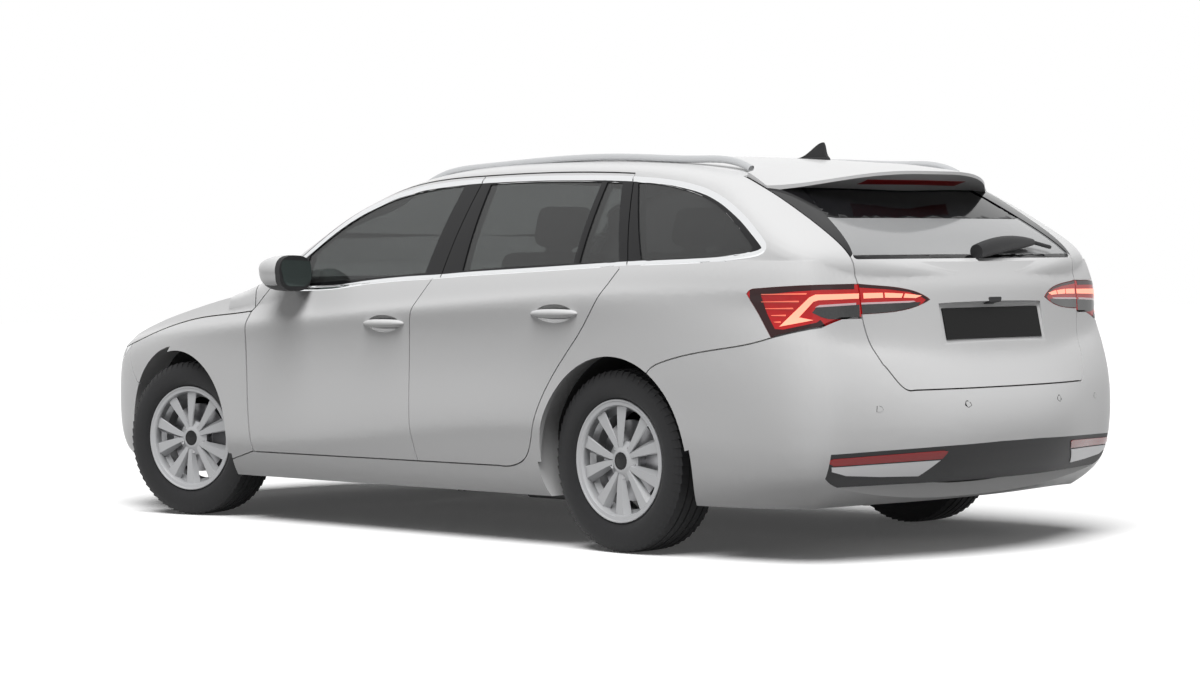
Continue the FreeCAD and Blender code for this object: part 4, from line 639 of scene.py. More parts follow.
def outermost(tree: BVHTree, aim: Aim, point: Vector, along: Vector, reach: float) -> Vector:
    """Where the skin lies under a point of a drawing, read over the gaps beside it.

    Args:
        tree: The skin.
        aim: Where the drawing is looked at from.
        point: The point of the drawing.
        along: The direction in which neighbours are read.
        reach: How far the neighbours lie, in millimetres.

    Returns:
        The place on the skin.
    """
    depths = []
    for shift in (-reach, 0.0, reach):
        spot = point + along * shift
        start = aim.place((spot.x, spot.y)) - aim.look * LONG
        distance = tree.ray_cast(start, aim.look)[3]
        if distance is not None:
            depths.append(distance)
    start = aim.place((point.x, point.y)) - aim.look * LONG
    return start + aim.look * min(depths, default=LONG)


def ribbon(tree: BVHTree, aim: Aim, line: Line, width: float, section: Section,
           count: int, columns: int = 6) -> bmesh.types.BMesh:
    """A raised strip that follows a drawn line over the skin.

    Args:
        tree: The skin.
        aim: Where the line is looked at from.
        line: One edge of the strip, which lies to its left.
        width: The strip's width, in millimetres.
        section: Its cross-section.
        count: How many steps along it.
        columns: How many faces across it.

    Returns:
        The strip, as a closed form.
    """
    form = bmesh.new()
    bmesh.ops.create_grid(form, x_segments=count, y_segments=columns, size=0.5)
    stations = line.runs(count)
    for vert in form.verts:
        point, left = stations[round((vert.co.x + 0.5) * count)]
        share = vert.co.y + 0.5
        spot = point + left * width * share
        along = Vector((left.y, -left.x))
        skin = outermost(tree, aim, spot, along, 5.0)
        vert.co = skin - aim.look * section.height(share) * MM
    if line.closed:
        bmesh.ops.remove_doubles(form, verts=form.verts, dist=WELD)
    bmesh.ops.recalc_face_normals(form, faces=form.faces)
    if sum(face.normal.dot(aim.look) for face in form.faces) > 0.0:
        bmesh.ops.reverse_faces(form, faces=form.faces)
    bmesh.ops.solidify(form, geom=form.faces[:], thickness=1.2 * MM)
    return form


def parted(form: bmesh.types.BMesh, aim: Aim, start: Spot, end: Spot, gap: float,
           keep_left: bool) -> None:
    """Cut a form at a drawn straight line and keep one side, less half a gap.

    Args:
        form: The form, which is changed.
        aim: Where the line is looked at from.
        start: The line's first point.
        end: Its last point.
        gap: The gap's full width, in millimetres.
        keep_left: Whether the side to the line's left stays.
    """
    run = aim.place(end) - aim.place(start)
    left = -run.cross(aim.look).normalized()
    facing = left if keep_left else -left
    cut = bmesh.ops.bisect_plane(
        form, geom=form.verts[:] + form.edges[:] + form.faces[:],
        plane_co=aim.place(start) + facing * 0.5 * gap * MM, plane_no=facing, dist=WELD,
        clear_inner=True)
    rims = [item for item in cut["geom_cut"] if isinstance(item, bmesh.types.BMEdge)]
    bmesh.ops.holes_fill(form, edges=rims, sides=0)


# The car's own pieces


@dataclass
class Shell:
    """The panels, glass and fixed parts that keep their solids' forms."""

    painted: tuple[str, ...] = ("body_frame", "bonnet", "front_fenders", "front_bumper",
                                "rear_bumper", "tailgate", "spoiler", "door_front_left",
                                "door_front_right", "door_rear_left", "door_rear_right",
                                "mirror_left", "mirror_right")
    side_panes: tuple[str, ...] = ("glass_front_left", "glass_front_right", "glass_rear_left",
                                   "glass_rear_right", "quarter_glass")
    black: tuple[str, ...] = ("rear_valance", "grille", "front_intake", "aerial", "load_floor",
                              "dashboard", "steering_wheel", "rear_wiper", "fuel_tank")
    metal: tuple[str, ...] = ("front_subframe", "front_struts", "rear_axle",
                              "engine", "knuckle_left", "knuckle_right")

    def build(self) -> None:
        """Dress every node that keeps its form."""
        for node in self.painted:
            dressed(node, PAINT)
        for node in self.side_panes:
            dressed(node, SIDE_GLASS)
        for node in self.black:
            dressed(node, TRIM_BLACK)
        for node in self.metal:
            dressed(node, CAST_METAL)
        dressed("tailgate_glass", REAR_GLASS_PAINTED_REFLECTION)
        dressed("windscreen", CLEAR_GLASS)
        dressed("tailgate_blades", GLOSS_BLACK)
        dressed("wheel_liners", DEEP_BLACK)
        dressed("floor_pan", UNDERBODY)
        dressed("exhaust", EXHAUST_STEEL)
        dressed("roof_rails", RAIL_ALLOY)
        dressed("headlamps", LAMP_CLEAR)
        dressed("body_lamps", LAMP_RED)
        dressed("tailgate_lamps", LAMP_RED)
        dressed("number_plate_rear", PLATE)


@dataclass
class WindowTrim:
    """The bright frame round the side windows and the black pillars inside it."""

    bright_width: float = 21.0
    black_rise: float = 0.6
    door_gap: float = 5.0
    line_steps: int = 260
    bright_line: Line = Line((
        (612, 942), (395, 946), (188, 963), (-16, 974), (-221, 980), (-407, 988), (-779, 999),
        (-1244, 1013), (-1558, 1018), (-1716, 1023), (-1852, 1036), (-1897, 1050),
        (-1906, 1071), (-1886, 1095), (-1840, 1130), (-1773, 1175), (-1706, 1212),
        (-1637, 1245), (-1553, 1276), (-1456, 1300), (-1308, 1324), (-1054, 1346),
        (-746, 1359), (-558, 1363), (-366, 1364), (-173, 1361), (19, 1350), (111, 1336),
        (202, 1319), (286, 1292), (368, 1261), (446, 1222), (524, 1174), (598, 1120),
        (650, 1081)))
    seam: tuple[Spot, Spot] = ((-228.5, 993), (-295.5, 1370))
    door_end: tuple[Spot, Spot] = ((-1250, 1006), (-1127, 1348))
    skins: tuple[str, ...] = ("body_frame", "door_front_left", "door_rear_left",
                              "glass_front_left", "glass_rear_left", "quarter_glass")

    def build(self) -> None:
        """Make the trim of both sides."""
        tree = skin_tree(self.skins)
        for hand in Hand:
            self.bright(tree, hand)
            self.pillars(hand)

    def bright(self, tree: BVHTree, hand: Hand) -> None:
        """The bright strip, in three lengths that part at the doors' edges.

        Args:
            tree: The left-hand skin.
            hand: Which side of the car.
        """
        for part in ("front", "rear", "quarter"):
            form = ribbon(tree, Aim.SIDE, self.bright_line, -self.bright_width, ROUND_STRIP,
                          self.line_steps)
            if part == "front":
                parted(form, Aim.SIDE, *self.seam, self.door_gap, keep_left=False)
            if part == "rear":
                parted(form, Aim.SIDE, *self.seam, self.door_gap, keep_left=True)
                parted(form, Aim.SIDE, *self.door_end, self.door_gap, keep_left=False)
            if part == "quarter":
                parted(form, Aim.SIDE, *self.door_end, self.door_gap, keep_left=True)
            body = "shell" if part == "quarter" else "door_%s_%s" % (part, hand.word)
            shown("window_bright_%s_%s" % (part, hand.word), taken(handed(form, hand)), CHROME,
                  body, 60.0)

    def pillars(self, hand: Hand) -> None:
        """The black pillars and window edges inside the bright strip.

        Args:
            hand: Which side of the car.
        """
        middle = self.bright_width / 2
        outline = [tuple(point - left * middle) for point, left in self.bright_line.runs(80)]
        for node in ("door_front", "door_rear", "body_frame"):
            full = node if node == "body_frame" else node + "_left"
            form = patch((full,), Aim.SIDE, outline, self.black_rise, deep=True)
            inner = [face for face in form.faces if face.calc_center_median().y < 0.60]
            bmesh.ops.delete(form, geom=inner, context="FACES")
            carrier = node if node == "body_frame" else "%s_%s" % (node, hand.word)
            shown("pillar_black_%s_%s" % (node, hand.word), taken(handed(form, hand)),
                  GLOSS_BLACK, body_of(carrier))


@dataclass
class TailLamps:
    """What shows through the tail lamps' lenses: dark edges, lit bands and crystal strips."""

    rise: float = 0.7
    streak_rise: float = 0.91
    lit_rise: float = 1.12
    edge: tuple[Spot, ...] = (
        (-725, 935), (-1075, 950), (-1075, 924), (-960, 924), (-860, 919), (-762, 908),
        (-782, 845), (-806, 795), (-833, 793), (-945, 815), (-957, 824), (-985, 790),
        (-780, 755), (-725, 880))
    band: tuple[Spot, ...] = (
        (-821, 803), (-921, 899), (-942, 908), (-1090, 909), (-1090, 892), (-949, 889),
        (-934, 884), (-886, 833), (-933, 823))
    streaks: tuple[tuple[float, float, float], ...] = (
        (-758, -912, 911), (-770, -888, 886), (-779, -868, 863), (-791, -843, 840),
        (-804, -828, 818))
    streak_height: float = 5.0
    streak_tip: float = 2.0
    crystal: tuple[Spot, ...] = (
        (-940, 866), (-955, 873), (-1080, 878), (-1080, 871), (-960, 866))
    smoke: tuple[Spot, ...] = (
        (-930, 848), (-943, 864), (-960, 868), (-1092, 872), (-1092, 820), (-985, 826),
        (-962, 832))
    gate_band: tuple[tuple[Spot, ...], ...] = (
        ((576, 910), (500, 910), (500, 893), (576, 892)),
        ((492, 910), (420, 906), (428, 892), (492, 893)),
        ((412, 906), (345, 898), (372, 890), (420, 892)))
    gate_crystal: tuple[Spot, ...] = ((584, 878), (385, 881), (372, 878), (400, 875), (584, 872))
    gate_smoke: tuple[Spot, ...] = (
        (600, 873), (398, 876), (352, 876), (372, 858), (440, 846), (520, 838), (600, 834))
    gate_edge: tuple[Spot, ...] = (
        (600, 947), (600, 930), (480, 922), (392, 911), (345, 893), (330, 884), (345, 872),
        (300, 866), (296, 905), (380, 935))

    def build(self) -> None:
        """Make the insides of all four lamps."""
        for hand in Hand:
            for name, outline, finish, rise in self.body_rows():
                form = patch(("body_lamps",), Aim.CORNER, list(outline), rise)
                shown("lamp_%s_%s" % (name, hand.word), taken(handed(form, hand)), finish,
                      "shell")
            for name, outline, finish, rise in self.gate_rows():
                form = patch(("tailgate_lamps",), Aim.REAR, list(outline), rise)
                shown("gate_lamp_%s_%s" % (name, hand.word), taken(handed(form, hand)), finish,
                      "tailgate")

    def body_rows(self) -> list[tuple[str, tuple[Spot, ...], Finish, float]]:
        """Name, outline, finish and rise of each piece in the body's lamp."""
        rows = [("edge", self.edge, LAMP_DARK, self.rise),
                ("smoke", self.smoke, LAMP_SMOKE, self.rise),
                ("band", self.band, LAMP_LIT, self.lit_rise),
                ("crystal", self.crystal, LAMP_CRYSTAL, self.lit_rise)]
        for number, (start, end, height) in enumerate(self.streaks, start=1):
            half = self.streak_height / 2
            tip = self.streak_tip / 2
            outline = ((start, height + tip), (end, height + half), (end, height - half),
                       (start, height - tip))
            rows.append(("streak_%d" % number, outline, LAMP_STREAK, self.streak_rise))
        return rows

    def gate_rows(self) -> list[tuple[str, tuple[Spot, ...], Finish, float]]:
        """Name, outline, finish and rise of each piece in the gate's lamp."""
        rows = [("edge", self.gate_edge, LAMP_DARK, self.rise),
                ("smoke", self.gate_smoke, LAMP_SMOKE, self.rise),
                ("crystal", self.gate_crystal, LAMP_CRYSTAL, self.lit_rise)]
        for number, outline in enumerate(self.gate_band, start=1):
            rows.append(("band_%d" % number, outline, LAMP_LIT, self.lit_rise))
        return rows


@dataclass
class Gate:
    """The tailgate's screen border, brake strip and release; the border's top band also stands in
    for painted shade under the spoiler.
    """

    border_and_shade_low: float = 1168.0
    border_and_shade_high: float = 1330.0
    border_and_shade_half: float = 575.0
    border_and_shade_lean: float = 60.0
    border_and_shade_round: float = 90.0
    border_rise: float = 0.5
    foot_half: float = 590.0
    foot_low: float = 1000.0
    foot_high: float = 1038.0
    brake_half: float = 262.0
    brake_low: float = 1291.0
    brake_high: float = 1305.0
    brake_round: float = 5.0
    brake_rise: float = 0.9
    release_middle: Spot = (0.0, 876.0)
    release_half: float = 34.0
    release_drop: float = 12.0
    release_lean: float = 8.0
    release_round: float = 6.0
    release_rise: float = 3.0

    def build(self) -> None:
        """Make the pieces that ride on the tailgate."""
        narrow = self.border_and_shade_half - self.border_and_shade_lean
        top = [(-self.border_and_shade_half, self.border_and_shade_low), (self.border_and_shade_half, self.border_and_shade_low),
               (narrow, self.border_and_shade_high), (-narrow, self.border_and_shade_high)]
        foot = self.box(self.foot_half, self.foot_low, self.foot_high)
        strip = rounded(self.box(self.brake_half, self.brake_low, self.brake_high),
                        self.brake_round)
        # The black top band is partly the screen's printed border and partly painted shade and
        # reflection of the spoiler on the glass.
        self.put("gate_screen_top", "tailgate_glass", rounded(top, self.border_and_shade_round),
                 self.border_rise, GLOSS_BLACK)
        self.put("gate_screen_foot", "tailgate_glass", foot, self.border_rise, GLOSS_BLACK)
        self.put("brake_strip", "spoiler", strip, self.brake_rise, BRAKE_RED)
        self.release()

    def box(self, half: float, low: float, high: float) -> list[Spot]:
        """A rectangle about the middle of the tail."""
        return [(-half, low), (half, low), (half, high), (-half, high)]

    def put(self, name: str, node: str, outline: list[Spot], rise: float,
            finish: Finish) -> None:
        """Show a piece on the tailgate.

        Args:
            name: The piece's name.
            node: The CAD node that it lies on.
            outline: Its outline from behind, in millimetres.
            rise: How far it stands off the skin, in millimetres.
            finish: Its finish.
        """
        form = patch((node,), Aim.REAR, outline, rise)
        shown(name, taken(form), finish, "tailgate")

    def release(self) -> None:
        """The small black push pad over the plate."""
        u, v = self.release_middle
        narrow = self.release_half - self.release_lean
        outline = [(u - self.release_half, v + self.release_drop),
                   (u + self.release_half, v + self.release_drop),
                   (u + narrow, v - self.release_drop), (u - narrow, v - self.release_drop)]
        self.put("gate_release", "tailgate", rounded(outline, self.release_round),
                 self.release_rise, TRIM_BLACK)


@dataclass
class RearBumper:
    """Sensors, reflectors and silver inserts of the rear bumper."""

    sensor_radius: float = 11.0
    sensor_ring: float = 2.0
    ring_rise: float = 0.4
    eye_rise: float = 0.9
    lens_rise: float = 2.5
    insert_rise: float = 3.0
    sensors: tuple[Spot, ...] = ((249, 528), (589, 522))
    reflector: tuple[Spot, ...] = (
        (352, 374), (336, 370), (352, 346), (742, 337), (757, 346), (757, 358), (745, 361))
    insert: tuple[Spot, ...] = (
        (357, 342), (415, 290), (560, 294), (690, 303), (742, 318), (748, 333))

    def build(self) -> None:
        """Make the pieces of both sides."""
        for hand in Hand:
            for number, spot in enumerate(self.sensors, start=1):
                ring = patch(("rear_bumper",), Aim.REAR,
                             disc_outline(spot, self.sensor_radius), self.ring_rise)
                inner = disc_outline(spot, self.sensor_radius - self.sensor_ring)
                eye = patch(("rear_bumper",), Aim.REAR, inner, self.eye_rise)
                label = "%d_%s" % (number, hand.word)
                self.put("sensor_ring_" + label, handed(ring, hand), SEAL)
                self.put("sensor_eye_" + label, handed(eye, hand), PAINT)
            lens = patch(("rear_valance",), Aim.REAR, list(self.reflector), self.lens_rise)
            self.put("reflector_" + hand.word, handed(lens, hand), REFLECTOR)
            insert = patch(("rear_valance",), Aim.REAR, list(self.insert), self.insert_rise)
            self.put("silver_insert_" + hand.word, handed(insert, hand), SILVER_INSERT)

    def put(self, name: str, form: bmesh.types.BMesh, finish: Finish) -> None:
        """Show a piece on the body's rear bumper."""
        shown(name, taken(form), finish, "shell")


@dataclass
class Mirrors:
    """The door mirrors' black frames and their glass."""

    frame_front: float = 556.0
    belly: float = 985.0
    lean: float = 0.25
    cap_edge: float = 1221.0
    rise: float = 0.6
    glass_rise: float = 1.6
    glass_round: float = 16.0
    glass_edge: tuple[Spot, ...] = (
        (866, 1062), (1012, 1068), (1022, 1040), (1008, 978), (985, 962), (905, 962),
        (874, 985))

    def build(self) -> None:
        """Make the frame and glass of both mirrors."""
        for hand in Hand:
            form = welded("mirror_left")
            for place, facing in (((self.frame_front, 0, 0), (1, 0, 0)),
                                  ((0, 0, self.belly), (0, self.lean, 1))):
                bmesh.ops.bisect_plane(
                    form, geom=form.verts[:] + form.edges[:] + form.faces[:],
                    plane_co=Vector(place) * MM, plane_no=facing, dist=WELD)
            painted = [face for face in form.faces if self.stays_painted(face)]
            bmesh.ops.delete(form, geom=painted, context="FACES")
            form.normal_update()
            for vert in form.verts:
                vert.co += vert.normal * self.rise * MM
            node = "mirror_" + hand.word
            shown("mirror_frame_" + hand.word, taken(handed(form, hand)), TRIM_BLACK,
                  body_of(node))
            pane = patch(("mirror_left",), Aim.REAR,
                         rounded(list(self.glass_edge), self.glass_round), self.glass_rise)
            shown("mirror_glass_" + hand.word, taken(handed(pane, hand)), MIRROR_GLASS,
                  body_of(node))

    def stays_painted(self, face: bmesh.types.BMFace) -> bool:
        """Whether a face belongs to the painted cap."""
        middle = face.calc_center_median() / MM
        return (middle.x > self.frame_front
                and middle.z + self.lean * middle.y > self.cap_edge)


@dataclass(frozen=True)
class Place:
    """Where one wheel stands: its middle, and its axle's direction away from the car."""

    corner: str
    middle: Vector
    axle: Vector
    hand: Hand

    @classmethod
    def read(cls, corner: str) -> "Place":
        """Read a wheel's place from its joint in the frame.

        Args:
            corner: The corner's name.

        Returns:
            The place.
        """
        joint = next(row for row in frame["record"]["behaviour"]["joints"]
                     if row["name"] == "spin_" + corner)
        hand = Hand.LEFT if corner.endswith("left") else Hand.RIGHT
        return cls(corner, Vector(joint["pos_m"]), Vector(joint["axis"]).normalized(), hand)

    def stand(self, form: bmesh.types.BMesh) -> bmesh.types.BMesh:
        """Move a form made round the Y axis, outboard to +Y, to this corner.

        Args:
            form: The form, which is changed.

        Returns:
            The same form.
        """
        handed(form, self.hand)
        forward = self.axle.cross(Vector((0.0, 0.0, 1.0)))
        axes = Matrix((forward, self.axle, Vector((0.0, 0.0, 1.0)))).transposed().to_4x4()
        bmesh.ops.transform(form, matrix=Matrix.Translation(self.middle) @ axes,
                            verts=form.verts)
        return form


def ring_of(points: list[Spot], steps: int) -> bmesh.types.BMesh:
    """Spin a closed section about the Y axis.

    Args:
        points: The section's points, as measures along Y and radii, in millimetres.
        steps: How many steps a full turn takes.

    Returns:
        The ring.
    """
    form = bmesh.new()
    verts = [form.verts.new((radius * MM, along * MM, 0.0)) for along, radius in points]
    for start, end in zip(verts, verts[1:] + verts[:1]):
        form.edges.new((start, end))
    bmesh.ops.spin(form, geom=form.verts[:] + form.edges[:], cent=(0, 0, 0), axis=(0, 1, 0),
                   angle=2 * math.pi, steps=steps, use_merge=True)
    bmesh.ops.remove_doubles(form, verts=form.verts, dist=WELD)
    bmesh.ops.recalc_face_normals(form, faces=form.faces)
    return form


def joined(forms: list[bmesh.types.BMesh]) -> bmesh.types.BMesh:
    """Put several forms into one mesh.

    Args:
        forms: The forms, which are let go.

    Returns:
        The one form.
    """
    whole = bmesh.new()
    for form in forms:
        mesh = taken(form)
        whole.from_mesh(mesh)
        bpy.data.meshes.remove(mesh)
    return whole


@dataclass
class Tyre:
    """A tyre with a grooved tread, to the same section as its solid."""

    radius: float = 326.0
    half_width: float = 105.0
    tread_half: float = 86.0
    bead: float = 203.6
    lip: float = 220.8
    seat_half: float = 80.9
    wall: float = 11.0
    groove_depth: float = 6.5
    groove_half: float = 4.0
    grooves: tuple[float, ...] = (-52.0, -18.0, 18.0, 52.0)
    pitches: int = 64
    slot_share: float = 0.22
    slot_depth: float = 4.5

    def crown(self, along: float) -> float:
        """The tread's radius at a measure across the tyre."""
        return self.radius - 3.0 * (along / self.tread_half) ** 2

    def half_section(self) -> list[Spot]:
        """The outer section from the middle of the tread out to the bead."""
        points = [(0.0, self.crown(0.0))]
        for groove in self.grooves:
            if groove > 0:
                for shift, depth in ((-self.groove_half, 0.0),
                                     (1 - self.groove_half, self.groove_depth),
                                     (self.groove_half - 1, self.groove_depth),
                                     (self.groove_half, 0.0)):
                    along = groove + shift
                    points.append((along, self.crown(along) - depth))
        points += [(72.0, self.crown(72.0)), (self.tread_half, self.crown(self.tread_half)),
                   (self.half_width - 17, self.radius - 8), (self.half_width - 12, self.radius - 13),
                   (self.half_width - 10, self.radius - 17),
                   (self.half_width - 5.0, self.radius - 31),
                   (self.half_width - 4.4, self.radius - 32.5),
                   (self.half_width - 1.6, self.radius - 47),
                   (self.half_width, self.lip + 42), (self.half_width - 1.5, self.lip + 28),
                   (self.half_width - 6.5, self.lip + 16), (self.half_width - 7.6, self.lip + 15),
                   (self.seat_half + 8, self.lip + 6), (self.seat_half, self.lip),
                   (self.seat_half, self.bead), (self.seat_half - self.wall, self.bead),
                   (self.seat_half - self.wall, self.lip + 4),
                   (self.half_width - self.wall, self.lip + 42),
                   (self.half_width - 26, self.radius - self.wall - 15)]
        return points

    def section(self) -> list[Spot]:
        """The whole closed section."""
        half = self.half_section()
        crown_inside = (0.0, self.radius - self.wall - 4)
        return half + [crown_inside] + [(-along, radius) for along, radius in half[:0:-1]]

    def slotted(self, along: float, radius: float) -> float:
        """The radius at the bottom of a shoulder slot."""
        side = abs(along)
        if side > 56.5 and radius > self.radius - 30:
            return radius - self.slot_depth * min(1.0, (side - 56.0) / 16.0)
        return radius

    def form(self) -> bmesh.types.BMesh:
        """The tyre round the Y axis.

        Returns:
            The form.
        """
        points = self.section()
        pitch = 2 * math.pi / self.pitches
        slot = self.slot_share * pitch
        turns = (0.0, 0.12 * pitch, 0.12 * pitch + 0.1 * slot, 0.12 * pitch + slot, pitch)
        form = bmesh.new()
        bmesh.ops.create_grid(form, x_segments=4, y_segments=len(points), size=0.5)
        for vert in form.verts:
            column = round((vert.co.x + 0.5) * 4)
            along, radius = points[round((vert.co.y + 0.5) * len(points)) % len(points)]
            if column in (2, 3):
                radius = self.slotted(along, radius)
            turn = turns[column]
            vert.co = Vector((radius * math.cos(turn), along, radius * math.sin(turn))) * MM
        bmesh.ops.remove_doubles(form, verts=form.verts, dist=WELD)
        bmesh.ops.spin(form, geom=form.verts[:] + form.edges[:] + form.faces[:],
                       cent=(0, 0, 0), axis=(0, 1, 0), angle=2 * math.pi, steps=self.pitches,
                       use_duplicate=True)
        bmesh.ops.remove_doubles(form, verts=form.verts, dist=WELD * 5)
        bmesh.ops.recalc_face_normals(form, faces=form.faces)
        return form


@dataclass
class Rim:
    """A cast rim with five pairs of broad twisted spokes, to its solid's section."""

    half: float = 82.5
    bead: float = 203.0
    flange: float = 17.0
    wall: float = 6.0
    pad: float = 46.0
    hub_radius: float = 72.0
    hub_bore: float = 28.0
    pairs: int = 5
    first_turn: float = 18.0
    spoke_rows: tuple[tuple[float, float, float, float, float], ...] = (
        (34, 10.0, 9.0, 70, 62), (62, 11.0, 14.0, 73, 60), (95, 13.0, 18.5, 74, 57),
        (130, 14.5, 22.5, 74, 54), (165, 15.5, 26.5, 74, 52), (190, 16.0, 29.5, 74, 52),
        (199, 16.2, 31.0, 73, 53))
    spoke_thick: float = 11.0
    bolt_circle: float = 56.0
    bolt_radius: float = 8.0
    bolt_first: float = 54.0

    def barrel(self) -> bmesh.types.BMesh:
        """The barrel with its two flanges."""
        lip = self.bead + self.flange
        well = self.bead - 22
        half = self.half
        points = [
            (-half - 6, lip), (-half + 1, lip), (-half + 1, self.bead), (-half + 32, self.bead),
            (-half + 48, well), (half - 48, well), (half - 32, self.bead), (half - 1, self.bead),
            (half - 1, lip), (half + 5, lip), (half + 7, lip - 2), (half + 7, lip - 6),
            (half + 4, lip - 9), (half + 2, self.bead - 4), (half - 4, self.bead - 9),
            (half - 14, self.bead - 12), (half - 36, self.bead - self.wall - 5),
            (half - 52, well - self.wall), (-half + 48, well - self.wall),
            (-half + 32, self.bead - self.wall), (-half - 6, self.bead - self.wall)]
        return ring_of(points, 96)

    def hub(self) -> bmesh.types.BMesh:
        """The hub pad with its sloped face."""
        top = self.pad + 30
        points = [(self.pad, self.hub_bore), (self.pad, self.hub_radius),
                  (self.pad + 13, self.hub_radius), (top - 6, 48), (top - 1, 40), (top, 37),
                  (top, 32), (top - 4, 31), (top - 4, self.hub_bore)]
        return ring_of(points, 60)

    def spoke(self, side: int) -> bmesh.types.BMesh:
        """One spoke, with a broad bright facet and a steep trailing one.

        Args:
            side: Which of the pair, +1 or −1.

        Returns:
            The spoke, pointing along Z.
        """
        form = bmesh.new()
        rows = len(self.spoke_rows) - 1
        bmesh.ops.create_grid(form, x_segments=rows, y_segments=3, size=0.5)
        for vert in form.verts:
            radius, swing, half, ridge, foot = self.spoke_rows[round((vert.co.x + 0.5) * rows)]
            column = round((vert.co.y + 0.5) * 3)
            shift = (-1.0, -0.86, 0.42, 1.0)[column] * half
            face = (ridge - 5, ridge - 1, ridge, foot)[column]
            middle = side * radius * math.tan(math.radians(swing))
            offset = middle + shift
            height = math.sqrt(max(radius ** 2 - offset ** 2, 1.0))
            vert.co = Vector((offset, face, height)) * MM
        bmesh.ops.recalc_face_normals(form, faces=form.faces)
        if sum(face.normal.y for face in form.faces) < 0:
            bmesh.ops.reverse_faces(form, faces=form.faces)
        bmesh.ops.solidify(form, geom=form.faces[:], thickness=self.spoke_thick * MM)
        return form

    def form(self) -> bmesh.types.BMesh:
        """The whole rim round the Y axis.

        Returns:
            The form.
        """
        forms = [self.barrel(), self.hub()]
        for pair in range(self.pairs):
            turn = math.radians(360.0 * pair / self.pairs + self.first_turn)
            for side in (-1, 1):
                spoke = self.spoke(side)
                bmesh.ops.rotate(spoke, cent=(0, 0, 0), matrix=Matrix.Rotation(turn, 3, "Y"),
                                 verts=spoke.verts)
                forms.append(spoke)
        return joined(forms)

    def bolts(self) -> bmesh.types.BMesh:
        """Five bolt heads with a hollow in each."""
        forms = []
        for bolt in range(5):
            turn = math.radians(72 * bolt + self.bolt_first)
            top = self.pad + 25
            head = ring_of([(top - 9, 0.3), (top - 9, self.bolt_radius + 3),
                            (top - 5, self.bolt_radius + 3), (top - 4, self.bolt_radius),
                            (top - 0.8, self.bolt_radius), (top, self.bolt_radius - 1),
                            (top, 5.0), (top - 2.5, 4.0), (top - 2.5, 0.3)], 24)
            bmesh.ops.translate(head, vec=Vector((math.cos(turn), 0, math.sin(turn)))
                                * self.bolt_circle * MM, verts=head.verts)
            forms.append(head)
        return joined(forms)

    def cap(self) -> bmesh.types.BMesh:
        """The plain centre cap."""
        top = self.pad + 31
        return ring_of([(top - 6, 0.3), (top - 6, 30.5), (top - 1, 30.5), (top + 0.5, 29),
                        (top + 1, 26), (top - 0.5, 24.5), (top + 0.6, 12), (top + 1, 0.3)], 48)


@dataclass
class Wheels:
    """Tyres, rims, bolts, caps and brake discs at the four corners."""

    corners: tuple[str, ...] = ("front_left", "front_right", "rear_left", "rear_right")

    def build(self) -> None:
        """Make the four wheels."""
        for corner in self.corners:
            place = Place.read(corner)
            body = "wheel_" + corner
            tyre = shown("tyre_%s_tread" % corner, taken(place.stand(Tyre().form())),
                         TYRE_RUBBER, body, 30.0)
            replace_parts(tyre, "tyre_" + corner)
            rim = shown("rim_%s_cast" % corner, taken(place.stand(Rim().form())), ALLOY, body,
                        24.0)
            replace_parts(rim, "rim_" + corner)
            shown("wheel_bolts_" + corner, taken(place.stand(Rim().bolts())), BOLT_STEEL, body)
            shown("wheel_cap_" + corner, taken(place.stand(Rim().cap())), GLOSS_BLACK, body)
            dressed("brake_disc_" + corner, DISC_STEEL)


@dataclass
class Front:
    """The headlamps' insides."""

    lamp_dark: tuple[Spot, ...] = ((-800, 700), (-520, 668), (-505, 622), (-700, 636),
                                   (-800, 672))
    lamp_strip: tuple[Spot, ...] = ((-790, 712), (-520, 678), (-512, 668), (-790, 700))

    def build(self) -> None:
        """Make the pieces of the car's face."""
        for hand in Hand:
            dark = patch(("headlamps",), Aim.FRONT, list(self.lamp_dark), 0.6)
            strip = patch(("headlamps",), Aim.FRONT, list(self.lamp_strip), 1.2)
            shown("headlamp_dark_" + hand.word, taken(handed(dark, hand)), LAMP_SMOKE, "shell")
            shown("headlamp_strip_" + hand.word, taken(handed(strip, hand)), LAMP_CLEAR,
                  "shell")


@dataclass
class Cabin:
    """The seats, as padded forms with sewn channels."""

    voxel: float = 0.012
    channel_depth: float = 0.007
    channel_half: float = 0.012
    channels: tuple[float, ...] = (-0.13, 0.13)
    front_seats: tuple[float, ...] = (-0.37, 0.37)
    rear_seats: tuple[float, ...] = (-0.40, 0.0, 0.40)

    def build(self) -> None:
        """Pad the front seats and the rear bench."""
        self.padded("front_seats", self.front_seats)
        self.padded("rear_bench", self.rear_seats)

    def padded(self, node: str, middles: tuple[float, ...]) -> None:
        """Round a seat's solid into a padded form and sew its channels.

        Args:
            node: The seat's CAD node.
            middles: Where the sitters' middles lie across the car, in metres.
        """
        rough = bpy.data.objects.new("rough", taken(welded(node)))
        bpy.context.scene.collection.objects.link(rough)
        remesh = rough.modifiers.new("even faces", "REMESH")
        remesh.mode = "VOXEL"
        remesh.voxel_size = self.voxel
        smooth = rough.modifiers.new("soft corners", "SMOOTH")
        smooth.factor = 0.6
        smooth.iterations = 6
        solved = rough.evaluated_get(bpy.context.evaluated_depsgraph_get())
        form = bmesh.new()
        form.from_mesh(bpy.data.meshes.new_from_object(solved))
        bpy.data.objects.remove(rough)
        form.normal_update()
        lines = [middle + channel for middle in middles for channel in self.channels]
        for vert in form.verts:
            near = min(abs(vert.co.y - line) for line in lines)
            level = abs(vert.normal.y)
            if near < self.channel_half and level < 0.5:
                share = 0.5 + 0.5 * math.cos(math.pi * near / self.channel_half)
                vert.co -= vert.normal * self.channel_depth * share
        piece = shown(node + "_padded", taken(form), CLOTH, body_of(node), 70.0)
        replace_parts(piece, node)


# Light, floor and camera


